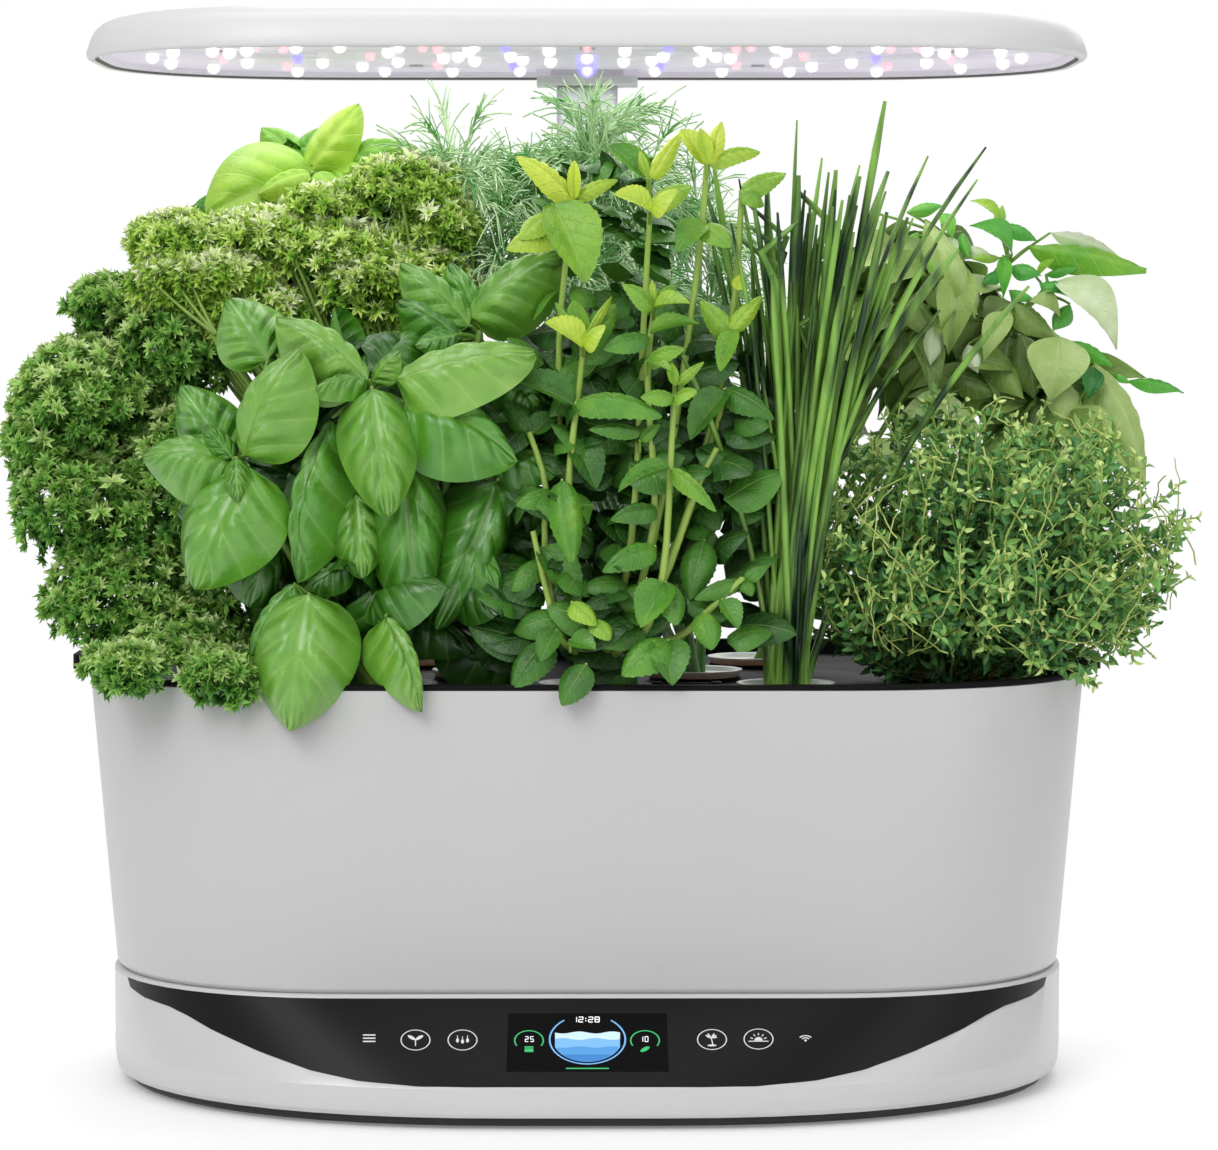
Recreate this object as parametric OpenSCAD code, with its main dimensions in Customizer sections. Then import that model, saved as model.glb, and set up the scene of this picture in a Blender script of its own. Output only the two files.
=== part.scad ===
// Countertop hydroponic garden: lamp hood on a three-stage post, water bowl with nine planted
// baskets, and a base with a sloped touch panel. Millimetres, +Z up, front towards -Y.

/* [Bowl] */
// half width of the bowl at its rim
bowl_rim_a = 206.6; // [180:0.1:230]
// half depth of the bowl at its rim
bowl_rim_b = 125; // [105:0.5:140]
// half width of the bowl at its foot
bowl_foot_a = 196.7; // [170:0.1:220]
// half depth of the bowl at its foot
bowl_foot_b = 117.5; // [100:0.5:135]
// height of the bowl, foot to rim
bowl_h = 121.5; // [100:0.5:150]
// corner radius of the bowl seen from above
bowl_corner_r = 104; // [60:1:110]
// wall thickness of the bowl
bowl_wall = 2.6; // [1.6:0.1:4]
// floor thickness of the bowl
bowl_floor = 3; // [2:0.1:6]

/* [Base] */
// half width of the base
base_a = 198; // [185:0.5:230]
// depth of the base in front of the bowl's middle
base_front = 152; // [135:0.5:175]
// depth of the base behind the bowl's middle
base_rear = 148; // [135:0.5:170]
// height of the base's top, where the bowl stands
base_top = 48.5; // [40:0.5:60]
// height of the front lip, where the sloped panel starts
lip_h = 18; // [12:0.5:24]
// thickness of the base's shell behind the panel
base_wall = 3; // [2:0.1:5]
// height of the dark bottom pan
pan_h = 5; // [4:0.1:8]
// how far the pan stands back from the shell's edge
pan_inset = 3.5; // [2:0.1:8]
// radius of a rubber foot
foot_r = 9; // [6:0.5:14]
// height that a foot lifts the pan
foot_lift = 1.2; // [0.6:0.1:3]

/* [Touch panel] */
// thickness of the panel, measured level
panel_t = 2.4; // [1.6:0.1:4]
// height of the panel's lower edge at the middle
panel_low = 17.4; // [10:0.1:24]
// width of the display
display_w = 63; // [40:0.5:90]
// height of the display along the slope
display_l = 28; // [16:0.5:32]
// thickness of the display module
display_t = 3; // [2:0.1:5]

/* [Power inlet] */
// radius of the inlet's hole
inlet_r = 2.75; // [2:0.05:4]
// depth of the inlet's hole
inlet_depth = 9; // [6:0.5:14]
// sideways place of the inlet
inlet_x = 62; // [40:1:90]
// height of the inlet's axis
inlet_z = 24; // [16:0.5:36]

/* [Lamp post] */
// depth of the post's axis behind the bowl's middle
post_y = 108; // [102:0.5:112]
// width of the upper tube
tube_w = 27; // [22:0.5:36]
// depth of the upper tube
tube_d = 18; // [14:0.5:22]
// wall thickness of the tubes
tube_wall = 1.8; // [1.2:0.1:2.4]
// sliding gap between two tubes
tube_gap = 0.3; // [0.2:0.05:0.6]
// wall thickness of the fixed sleeve
sleeve_wall = 4; // [3:0.1:5]
// height of the sleeve's top
sleeve_top = 160; // [130:1:165]
// height of the lower tube's top
lower_top = 244; // [210:1:270]
// height of the middle tube's top
middle_top = 320; // [290:1:350]
// height of the middle tube's lower end
middle_low = 75; // [50:1:100]
// height of the upper tube's lower end
upper_low = 160; // [120:1:200]

/* [Lamp hood] */
// half width of the hood
hood_a = 207; // [190:0.5:230]
// half depth of the hood
hood_b = 122.5; // [105:0.5:135]
// corner radius of the hood seen from above
hood_corner_r = 106; // [60:1:112]
// height of the hood's lower rim
hood_low = 422.6; // [400:0.1:480]
// height of the hood
hood_h = 24.4; // [18:0.1:40]
// width of the bracket under the hood
bracket_w = 44.5; // [36:0.5:60]
// thickness of the bracket under the hood
bracket_t = 5.6; // [4:0.1:9]
// thickness of the clear cover
lens_t = 1.2; // [0.8:0.1:3]
// thickness of the lamp board
board_t = 1.6; // [1:0.1:3]
// height of a lamp chip
led_h = 0.8; // [0.5:0.1:1.5]
// side of a lamp chip
led_w = 3.4; // [2:0.1:5]

/* [Grow deck] */
// thickness of the deck
deck_t = 2.5; // [1.6:0.1:4]
// depth of the deck's well below the rim
deck_well = 4.5; // [3:0.1:8]
// thickness of the deck's rim on the bowl
rim_t = 2; // [1.2:0.1:4]
// top radius of a basket's cup
basket_r = 17; // [13:0.1:19]
// depth of a basket
basket_h = 44; // [30:1:60]
// outer radius of a pod collar
collar_r = 20; // [17:0.1:22]
// height of a pod collar
collar_h = 3; // [2:0.1:5]
// radius of a stem
stem_r = 5; // [3:0.1:7]
// reach of the side tabs beyond the bowl's rim
tab_reach = 8.4; // [5:0.1:14]
// width of the fill port
port_w = 30; // [20:0.5:36]
// depth of the fill port
port_d = 22; // [14:0.5:26]

/* [Water parts] */
// radius of the pump's rotor
rotor_r = 11.5; // [8:0.1:13]
// height of the pump's body
pump_h = 30; // [24:1:40]
// radius of the riser tube
riser_r = 5; // [3.5:0.1:7]
// radius of the float's guide rod
rod_r = 3; // [2:0.1:5]
// radius of the float
float_r = 12; // [8:0.5:16]

/* [Hidden] */
$fn = 48;
eps = 0.01;
clear = 0.3;
fit = 0.1;
arc_steps = 14;
corner_n = 2.2;

bowl_rim_z = base_top + bowl_h;
deck_top = bowl_rim_z - deck_well;
post_tube = [tube_w, tube_d];
step = 2 * (tube_wall + tube_gap);
middle_tube = post_tube + [step, step];
lower_tube = middle_tube + [step, step];
sleeve_in = lower_tube + [2 * tube_gap, 2 * tube_gap];
sleeve_out = sleeve_in + [2 * sleeve_wall, 2 * sleeve_wall];
flange_out = sleeve_out + [9, 4];
flange_t = 3;
sleeve_low = pan_h + 5;
lower_low = sleeve_low + 4;
notch_w = flange_out[0] + 3;
notch_y = post_y - flange_out[1] / 2 - 1.5;
lens_z = hood_low + 0.6;
led_z = lens_z + lens_t + 0.4;
board_z = led_z + led_h;
hood_top = hood_low + hood_h;
hood_rear = post_y + 14.5;
hood_front = 2 * hood_b - hood_rear;
lip_rx = 165;
slope_y0 = base_front - 1.5;
slope_y1 = bowl_foot_b + 2;
slope_z1 = base_top - 1.2;
slope_a = atan2(slope_z1 - lip_h, slope_y0 - slope_y1);
slope_mid = [0, -(slope_y0 + slope_y1) / 2, (lip_h + slope_z1) / 2];
panel_n = panel_t * sin(slope_a);
wall_n = (panel_t + fit + base_wall) * sin(slope_a);
pump_y = notch_y - bowl_wall - 24;
chamber_z = base_top + bowl_floor + 7;
rotor_h = 9;
float_x = bowl_foot_a - 34;
float_top = deck_top - deck_t - 22;
lid_y = -(bowl_foot_b - 14);
port_x = 40;

pods = [
  [-80, -84], [0, -84], [80, -84],
  [-150, -18], [-45, -18], [45, -18], [150, -18],
  [-72, 52], [72, 52]
];
white_leds = [
  [183, -16], [179.5, 28], [171, -49], [164, 61], [154, -58], [148, -47], [146, 21],
  [139.6, -62], [118, -82], [129, 88], [113.6, 21], [100, -87], [98, 48], [82, -52],
  [90, 85.5], [81, 15], [76.4, -87], [60.5, -12], [60, 88], [54, -22], [48.5, -58],
  [48, 9], [45.7, -87], [32, -22.5], [27.5, 3], [30, 84], [15.6, -58], [15.6, 15]
];
red_leds = [
  [154, -4], [134.4, -82], [123.5, -76], [131, 48], [91, -22], [66.6, -82], [65, 41], [61, -69]
];
blue_leds = [[122.6, -4], [33, -82], [32, 48]];

// [half width, front, rear, corner x front, corner y front, corner x rear, corner y rear]
function even(a, f, b, r) = let (q = min(r, (f + b) / 2 - 1, a - 1)) [a, f, b, q, q, q, q];
function inset(o, d) = [for (v = o) v - d];
function corner(o, sx, sy) =
  let (b = sy < 0 ? o[1] : o[2], rx = sy < 0 ? o[3] : o[5], ry = sy < 0 ? o[4] : o[6])
  [for (i = [0:arc_steps]) let (t = 90 * i / arc_steps)
    [sx * (o[0] - rx + rx * pow(cos(t), 2 / corner_n)),
     sy * (b - ry + ry * pow(sin(t), 2 / corner_n))]];
function flip(v) = [for (i = [len(v) - 1:-1:0]) v[i]];
function outline(o) = [
  each corner(o, 1, 1), each flip(corner(o, -1, 1)),
  each corner(o, -1, -1), each flip(corner(o, 1, -1))
];

// closed solid through equal rings, each [height, points]
module skin(rings) {
  k = len(rings[0][1]);
  last = (len(rings) - 1) * k;
  polyhedron(
    points = [for (r = rings, p = r[1]) [p[0], p[1], r[0]]],
    faces = [
      [for (i = [0:k - 1]) i],
      each [for (j = [0:len(rings) - 2], i = [0:k - 1])
        let (b = j * k + i, c = j * k + (i + 1) % k)
        each [[b, b + k, c + k], [b, c + k, c]]],
      [for (i = [k - 1:-1:0]) last + i]
    ]);
}
module loft(levels) skin([for (l = levels) [l[0], outline(l[1])]]);

// a plant's closed body: each ring is [height, low x, high x, low y, high y]; a power of 1 makes
// the rings ellipses, and a smaller one squares them
module bush(rings, power = 0.8) skin([for (r = rings)
  [r[0], [for (i = [0:15]) let (c = cos(22.5 * i), s = sin(22.5 * i))
    [(r[1] + r[2]) / 2 + (r[2] - r[1]) / 2 * sign(c) * pow(abs(c), power),
     (r[3] + r[4]) / 2 + (r[4] - r[3]) / 2 * sign(s) * pow(abs(s), power)]]]]);

function stem(p, z, r = stem_r) = [z, p[0] - r, p[0] + r, p[1] - r, p[1] + r];

module bar(size, r = 3) {
  w = size[0] - 2 * r;
  d = size[1] - 2 * r;
  square([size[0], d], center = true);
  square([w, size[1]], center = true);
  for (x = [-w / 2, w / 2], y = [-d / 2, d / 2]) translate([x, y]) circle(r);
}
module tube(outer, inner, z0, z1) translate([0, post_y, z0])
  linear_extrude(z1 - z0) difference() {
    bar(outer, 4);
    bar(inner, 3);
  }
module notch(grow, z0, z1) translate([-notch_w / 2 - grow, notch_y - grow, z0])
  cube([notch_w + 2 * grow, 90, z1 - z0]);
module slab(x0, x1, y0, y1, z0, z1) translate([x0, y0, z0]) cube([x1 - x0, y1 - y0, z1 - z0]);

// ---- base ----
function base_ring(z, a, f, b, rf, rb) = [z, [a, f, b, rf[0], rf[1], rb, rb]];
function base_levels(d) = [
  base_ring(pan_h, base_a - 1 - d, base_front - 1 - d, base_rear - 1 - d,
    [168 - d, 148 - d], 112 - d),
  base_ring(pan_h + 2, base_a - d, base_front - d, base_rear - d, [168 - d, 148 - d], 112 - d),
  base_ring(lip_h - 1.5, base_a + 0.5 - d, base_front - d, base_rear - d,
    [166 - d, 146 - d], 111 - d),
  base_ring(lip_h, base_a + 0.3 - d, slope_y0 - d, base_rear - 0.2 - d,
    [lip_rx - d, 144 - d], 110 - d),
  base_ring(slope_z1, base_a - 0.2 - d, slope_y1 - d, base_rear - 2 - d,
    [106 - d, 105 - d], 105 - d),
  base_ring(base_top, bowl_foot_a + 0.2 - d, bowl_foot_b + 1 - d, base_rear - 3 - d,
    [105 - d, 104 - d], 104 - d)
];

// front view of the panel: a crescent that sweeps up at both ends
panel_curve = [
  [66, 0], [90, 1.3], [109, 4.2], [130, 9.7], [150, 16.1], [160, 20.1], [168, 22.5],
  [180, 24], [186.5, 26.2]
];
module panel_view(grow, y0, y1) translate([0, y1, 0]) rotate([90, 0, 0])
  linear_extrude(y1 - y0) polygon([
    each [for (i = [len(panel_curve) - 1:-1:0])
      [-panel_curve[i][0] - grow, panel_low + panel_curve[i][1] - grow]],
    each [for (p = panel_curve) [p[0] + grow, panel_low + p[1] - grow]],
    [188 + grow, slope_z1 - 0.2 + grow], [-188 - grow, slope_z1 - 0.2 + grow]
  ]);

screws_at = [[-150, 40], [150, 40], [-120, -70], [120, -70], [-95, 112], [95, 112]];
feet_at = [[-168, 20], [168, 20], [-100, -108], [100, -108], [-105, 128], [105, 128]];
foot_seat = 1;

module on_slope(out) translate(slope_mid) rotate([slope_a, 0, 0]) translate([0, 0, out])
  children();

module base_shell() {
  color("gainsboro") {
    difference() {
      loft(base_levels(0));
      difference() {
        translate([0, 0, -eps]) intersection() {
          loft([for (l = base_levels(panel_t + fit + base_wall)) [l[0], l[1]]]);
          slab(-250, 250, -250, 250, 0, base_top - base_wall);
        }
        for (p = screws_at) translate([p[0], p[1], 0]) cylinder(h = base_top - 1, r = 4.5);
      }
      difference() {
        panel_view(fit, -base_front - 5, -8);
        loft(base_levels(panel_t + fit));
      }
      on_slope(-wall_n - 3) linear_extrude(wall_n + 8)
        square([display_w + 2 * fit, display_l + 2 * fit], center = true);
      translate([0, post_y, base_top - 10]) linear_extrude(20)
        bar(sleeve_out + [2 * fit, 2 * fit], 4);
      for (p = screws_at) translate([p[0], p[1], -eps]) cylinder(h = 16, r = 1.6);
      translate([inlet_x, base_rear + 5, inlet_z]) rotate([90, 0, 0])
        cylinder(h = 15, r = inlet_r + 1.75 + fit);
    }
  }
}

module base_pan() {
  color("dimgray") difference() {
    loft([
      [foot_lift, inset(base_levels(0)[0][1], pan_inset + 1)],
      [foot_lift + 1, inset(base_levels(0)[0][1], pan_inset)],
      [pan_h, inset(base_levels(0)[0][1], pan_inset)]
    ]);
    for (p = feet_at) translate([p[0], p[1], 0]) cylinder(h = foot_lift + foot_seat, r = foot_r + fit);
    for (p = screws_at) translate([p[0], p[1], 0]) {
      cylinder(h = 20, r = 1.8);
      cylinder(h = foot_lift + 2, r = 3.4);
    }
  }
}

module rubber_feet() {
  color("black") for (p = feet_at) translate([p[0], p[1], 0])
    cylinder(h = foot_lift + foot_seat, r = foot_r);
}

module base_screws() {
  color("silver") for (p = screws_at) translate([p[0], p[1], foot_lift]) {
    cylinder(h = 2, r = 3);
    cylinder(h = 13, r = 1.5);
  }
}

module touch_panel() {
  color("black") intersection() {
    difference() {
      loft(base_levels(0));
      loft(base_levels(panel_t));
    }
    panel_view(0, -base_front - 5, -10);
  }
}

display_out = -panel_n - 0.35 - display_t;
module display_module() {
  color("midnightblue") on_slope(display_out) linear_extrude(display_t)
    square([display_w, display_l], center = true);
}

control_w = 2 * (base_a - lip_rx + 22);
module control_board() {
  color("seagreen") on_slope(min(display_out, -wall_n - 0.1) - 1.6) linear_extrude(1.6)
    square([control_w, display_l - 6], center = true);
}

module wifi_module() {
  color("gray") on_slope(min(display_out, -wall_n - 0.1) - 1.6 - 3) linear_extrude(3)
    translate([control_w / 2 - 14, 0]) square([22, 15], center = true);
}

module power_board() {
  color("darkgreen") {
    slab(-45, 45, 10, 60, pan_h + 4, pan_h + 5.6);
    for (x = [-40, 40], y = [15, 55]) translate([x, y, pan_h]) cylinder(h = 4.5, r = 2.5);
    slab(-30, -14, 22, 46, pan_h + 5.5, pan_h + 18);
    translate([10, 35, pan_h + 5.5]) cylinder(h = 16, r = 6);
    translate([28, 35, pan_h + 5.5]) cylinder(h = 16, r = 6);
  }
}

module dc_inlet() {
  color("black") translate([inlet_x, base_rear - 0.6, inlet_z]) rotate([90, 0, 0]) difference() {
    union() {
      cylinder(h = inlet_depth + 3, r = inlet_r + 1.75);
      translate([0, 0, panel_t + base_wall + 1]) cylinder(h = inlet_depth - 3, r = inlet_r + 4);
    }
    translate([0, 0, -eps]) cylinder(h = inlet_depth, r = inlet_r);
  }
}

module post_sleeve() {
  color("gainsboro") {
    tube(sleeve_out, sleeve_in, sleeve_low, sleeve_top);
    tube(flange_out, sleeve_in, base_top, base_top + flange_t);
    translate([0, post_y, sleeve_low - 5]) linear_extrude(5) bar(sleeve_out, 4);
  }
}

pins_z = base_top + 26;
module contact_pins() {
  color("gold") for (x = [-6, 0, 6])
    translate([x, post_y - sleeve_out[1] / 2, pins_z]) rotate([90, 0, 0])
      cylinder(h = post_y - sleeve_out[1] / 2 - notch_y - 1 - clear, r = 1.5);
}

// ---- lamp post and hood ----
module lower_tube_part() {
  color("silver") tube(lower_tube, middle_tube + [2 * tube_gap, 2 * tube_gap], lower_low, lower_top);
}
module middle_tube_part() {
  color("silver") tube(middle_tube, post_tube + [2 * tube_gap, 2 * tube_gap], middle_low, middle_top);
}
bracket_low = hood_low + 1.6 - bracket_t;
module upper_tube_part() {
  color("silver") tube(post_tube, post_tube - [2 * tube_wall, 2 * tube_wall], upper_low, bracket_low);
}
bracket_y0 = post_y - tube_d / 2 - 5;
bracket_y1 = hood_rear - 3;
block_w = tube_w + 5;
block_y1 = hood_rear - 12.5;
block_top = hood_top - 9;
module hood_bracket() {
  color("whitesmoke") difference() {
    union() {
      slab(-bracket_w / 2, bracket_w / 2, bracket_y0, bracket_y1 - 4, bracket_low, lens_z - 0.2);
      slab(-block_w / 2, block_w / 2, bracket_y0 + 2, block_y1, lens_z - 1, block_top);
    }
    for (x = [-10, 10]) translate([x, post_y - 4, bracket_low - eps]) {
      cylinder(h = 40, r = 1.6);
      cylinder(h = 14 + 2 * eps, r = 3.2);
    }
  }
}

hood_out = even(hood_a, hood_front, hood_rear, hood_corner_r);
shoulder_z = hood_low + 0.533 * hood_h;
curve_z = hood_low + 0.713 * hood_h;
hood_levels = [
  [hood_low, inset(hood_out, 1.2)], [hood_low + 0.057 * hood_h, hood_out],
  [hood_low + 0.287 * hood_h, inset(hood_out, 0.5)], [shoulder_z, inset(hood_out, 2.6)],
  [curve_z, inset(hood_out, 6.5)], [hood_low + 0.857 * hood_h, inset(hood_out, 12.5)],
  [hood_low + 0.959 * hood_h, inset(hood_out, 21)], [hood_top, inset(hood_out, 32)]
];
lens_d = 5.4;
board_d = 9;
ceiling = hood_top - 4;
// places on the lamp board follow the hood's outline
function on_hood(p) = [p[0] * hood_a / 210, p[1] * (p[1] < 0 ? hood_front : hood_rear) / 122.5];
hood_posts = [for (p = [[-150, -40], [150, -40], [-75, 60], [75, 60], [0, -60]]) on_hood(p)];
module hood_shell() {
  color("whitesmoke") difference() {
    loft(hood_levels);
    difference() {
      union() {
        loft([[hood_low - 1, inset(hood_out, lens_d - 0.3)],
          [lens_z + lens_t, inset(hood_out, lens_d - 0.3)]]);
        loft([[hood_low - 1, inset(hood_out, lens_d + 1.8)],
          [shoulder_z, inset(hood_out, lens_d + 3)], [curve_z, inset(hood_out, 14)],
          [ceiling, inset(hood_out, 25)]]);
      }
      for (p = hood_posts) translate([p[0], p[1], board_z + board_t])
        cylinder(h = hood_top - board_z - board_t - 1, r = 4);
      slab(-block_w / 2, block_w / 2, bracket_y0 + 2, block_y1, block_top, hood_top - 2);
    }
    for (p = hood_posts) translate([p[0], p[1], board_z]) cylinder(h = 11, r = 1.6);
    for (x = [-10, 10]) translate([x, post_y - 4, block_top - eps]) cylinder(h = 3, r = 1.6);
  }
}

module lens_cut(z0, z1) slab(-bracket_w / 2 - 0.4, bracket_w / 2 + 0.4, bracket_y0 - 0.4, 200, z0, z1);
module hood_lens() {
  color([0.9, 0.9, 1, 0.5]) difference() {
    loft([[lens_z, inset(hood_out, lens_d)], [lens_z + lens_t, inset(hood_out, lens_d)]]);
    lens_cut(lens_z - 1, lens_z + 3);
    for (s = [-1, 1]) let (p = on_hood([s * 115, -55.2]))
      slab(p[0] - 4, p[0] + 4, p[1] - 0.8, p[1] + 0.8, lens_z - 1, lens_z + 3);
  }
}

module led_board() {
  color("white") difference() {
    loft([[board_z, inset(hood_out, board_d)], [board_z + board_t, inset(hood_out, board_d)]]);
    lens_cut(board_z - 1, board_z + 3);
    for (p = hood_posts) translate([p[0], p[1], board_z - 1]) cylinder(h = 4, r = 1.8);
  }
}

module led(p) slab(p[0] - led_w / 2, p[0] + led_w / 2, p[1] - led_w / 2, p[1] + led_w / 2,
  led_z, board_z);
module leds(list) for (p = list, s = [-1, 1]) led(on_hood([s * p[0], p[1]]));
module white_led_chips() color("lightyellow") {
  leds(white_leds);
  led(on_hood([0, -10]));
  led(on_hood([0, 81]));
}
module red_led_chips() color("red") {
  leds(red_leds);
  led(on_hood([0, -82]));
}
module blue_led_chips() color("blue") leds(blue_leds);

module hood_screws() {
  color("silver") {
    for (p = hood_posts) translate([p[0], p[1], board_z]) {
      cylinder(h = 8, r = 1.5);
      translate([0, 0, -led_h]) cylinder(h = led_h, r = 3);
    }
    for (x = [-10, 10]) translate([x, post_y - 4, bracket_low + 12]) {
      cylinder(h = 2, r = 3);
      cylinder(h = block_top + 2 - bracket_low - 12, r = 1.5);
    }
  }
}

// ---- bowl and what hangs in it ----
rim = even(bowl_rim_a, bowl_rim_b, bowl_rim_b, bowl_corner_r + 4);
foot = even(bowl_foot_a, bowl_foot_b, bowl_foot_b, bowl_corner_r);
module bowl() {
  color("lightgray") difference() {
    loft([[base_top, inset(foot, 2)], [base_top + 2, foot], [bowl_rim_z, rim]]);
    difference() {
      loft([[base_top + bowl_floor, inset(foot, bowl_wall + 1)],
        [base_top + bowl_floor + 2, inset(foot, bowl_wall)], [bowl_rim_z + 0.5, inset(rim, bowl_wall)]]);
      notch(bowl_wall, 0, bowl_rim_z + 1);
    }
    notch(0, 0, bowl_rim_z + 1);
  }
}

module contact_plate() {
  color("goldenrod") slab(-12, 12, notch_y, notch_y + 1, pins_z - 5, pins_z + 5);
}

well = inset(rim, bowl_wall + 1.4);
knob_h = 17.5;
module grow_deck() {
  color("black") {
    difference() {
      union() {
        loft([[bowl_rim_z, rim], [bowl_rim_z + rim_t, inset(rim, 0.4)]]);
        loft([[deck_top - deck_t, inset(well, 0.6)], [bowl_rim_z + 0.5, well]]);
      }
      difference() {
        loft([[deck_top, inset(well, 2.2)], [bowl_rim_z + rim_t + 1, inset(well, 2)]]);
        notch(bowl_wall + 2.5, 0, bowl_rim_z + rim_t + 3);
      }
      notch(bowl_wall + clear, 0, bowl_rim_z);
      notch(0, 0, bowl_rim_z + rim_t + 3);
      for (p = pods) translate([p[0], p[1], deck_top - 10]) cylinder(h = 20, r = basket_r + 0.4);
      slab(port_x - port_w / 2, port_x + port_w / 2, lid_y - port_d / 2, lid_y + port_d / 2,
        deck_top - 10, deck_top + 10);
    }
    for (s = [-1, 1]) {
      intersection() {
        translate([s * (bowl_rim_a + tab_reach - 8), 0, bowl_rim_z]) linear_extrude(6)
          bar([16, 46], 7);
        slab(-300, 300, -100, 100, bowl_rim_z, bowl_rim_z + 6);
      }
      translate([s * (bowl_rim_a - 16), -14, deck_top]) cylinder(h = knob_h - 4.5, r = 4.5);
      translate([s * (bowl_rim_a - 16), -14, deck_top + knob_h - 4.5]) sphere(r = 4.5);
    }
    for (x = [-1, 1]) translate([port_x + x * (port_w / 2 - 3), lid_y + port_d / 2 + 3.2, deck_top])
      difference() {
        slab(-2, 2, -2.6, 2.6, 0, 5);
        translate([-3, 0, 2.6]) rotate([0, 90, 0]) cylinder(h = 6, r = 1.3);
      }
  }
}

hinge_y = lid_y + port_d / 2 + 3.2;
hinge_z = deck_top + 2.6;
module fill_lid() {
  color("black") difference() {
    union() {
      slab(port_x - port_w / 2 - 2, port_x + port_w / 2 + 2, lid_y - port_d / 2 - 2,
        hinge_y - 3.9, deck_top, deck_top + 2);
      slab(port_x - port_w / 2 + 6, port_x + port_w / 2 - 6, hinge_y - 4, hinge_y, deck_top + 0.4,
        deck_top + 2);
      translate([port_x - port_w / 2 + 6, hinge_y, hinge_z]) rotate([0, 90, 0])
        cylinder(h = port_w - 12, r = 2.2);
      translate([port_x, lid_y - port_d / 2 + 1, deck_top + 1.5]) rotate([0, 90, 0])
        translate([0, 0, -6]) cylinder(h = 12, r = 1.4);
    }
    translate([port_x - port_w, hinge_y, hinge_z]) rotate([0, 90, 0])
      cylinder(h = 2 * port_w, r = 1.3);
  }
}

module lid_pin() {
  color("silver") translate([port_x - port_w / 2 + 1, hinge_y, hinge_z]) rotate([0, 90, 0])
    cylinder(h = port_w - 2, r = 1.25);
}

basket_low = deck_top - basket_h;
module grow_baskets() {
  color("black") for (p = pods) translate([p[0], p[1], 0]) difference() {
    union() {
      translate([0, 0, basket_low]) cylinder(h = basket_h, r1 = basket_r - 5, r2 = basket_r);
      translate([0, 0, deck_top]) cylinder(h = 1.4, r = basket_r + 2);
    }
    translate([0, 0, basket_low + 1.5])
      cylinder(h = basket_h + 1, r1 = basket_r - 6.2, r2 = basket_r - 1.2);
    for (a = [0, 90]) rotate([0, 0, a]) slab(-30, 30, -2, 2, basket_low + 5, basket_low + 26);
  }
}

sponge_top = deck_top - 4;
module grow_sponges() {
  color("saddlebrown") for (p = pods) translate([p[0], p[1], basket_low + 1.8])
    cylinder(h = sponge_top - basket_low - 1.8, r1 = basket_r - 6.6, r2 = basket_r - 2.1);
}

collar_hole = stem_r + 3;
module pod_collars() {
  color("white") for (p = pods) translate([p[0], p[1], deck_top + 1.4]) difference() {
    cylinder(h = collar_h, r1 = basket_r + 1, r2 = collar_r);
    translate([0, 0, 1.2]) cylinder(h = collar_h, r1 = basket_r - 2, r2 = collar_r - 1.2);
    translate([0, 0, -1]) cylinder(h = 5, r = collar_hole);
  }
}

module pump_body() {
  color("black") translate([0, pump_y, 0]) difference() {
    slab(-24, 24, -19, 19, base_top + bowl_floor, base_top + bowl_floor + pump_h);
    translate([0, 0, chamber_z]) cylinder(h = pump_h, r = rotor_r + 1.5);
    slab(16, 30, -12, 12, base_top + bowl_floor + 3, base_top + bowl_floor + pump_h - 4);
  }
}

module pump_cover() {
  color("dimgray") translate([0, pump_y, base_top + bowl_floor + pump_h]) difference() {
    union() {
      slab(-24, 24, -19, 19, 0, 3);
      translate([0, 0, chamber_z + rotor_h + 1 - base_top - bowl_floor - pump_h])
        cylinder(h = base_top + bowl_floor + pump_h + 1 - chamber_z - rotor_h - 1, r = rotor_r + 1.2);
      translate([0, 0, 2]) cylinder(h = 7, r = riser_r + 2);
    }
    translate([0, 0, 3.5]) cylinder(h = 10, r = riser_r + fit);
    translate([7, 0, -pump_h]) cylinder(h = pump_h + 2, r = 1.6);
    translate([0, 0, -pump_h]) cylinder(h = pump_h, r = 1.55);
  }
}

module pump_impeller() {
  color("orange") translate([0, pump_y, chamber_z + 0.4]) {
    cylinder(h = rotor_h, r = 4);
    cylinder(h = rotor_h + 6, r = 1.5);
    cylinder(h = 1.6, r = rotor_r);
    for (a = [0:60:359]) rotate([0, 0, a]) slab(3, rotor_r - 0.4, -0.7, 0.7, 1, rotor_h - 0.6);
  }
}

module pump_filter() {
  color("dimgray") translate([0, pump_y, 0])
    slab(16.4, 23.6, -11.6, 11.6, base_top + bowl_floor + 3.3, base_top + bowl_floor + pump_h - 4.3);
}

riser_low = base_top + bowl_floor + pump_h + 3.5;
module riser_tube() {
  color("gray") translate([0, pump_y, riser_low]) difference() {
    cylinder(h = deck_top - deck_t - clear - riser_low, r = riser_r);
    translate([0, 0, -1]) cylinder(h = 200, r = riser_r - 1.5);
  }
}

module float_guide() {
  color("gray") translate([float_x, 14, base_top + bowl_floor]) {
    cylinder(h = 2, r = 8);
    cylinder(h = deck_top - deck_t - clear - base_top - bowl_floor, r = rod_r);
  }
}
module water_float() {
  color("orange") translate([float_x, 14, float_top - 16]) difference() {
    cylinder(h = 16, r = float_r);
    translate([0, 0, -1]) cylinder(h = 20, r = rod_r + 0.3);
  }
}

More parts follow.
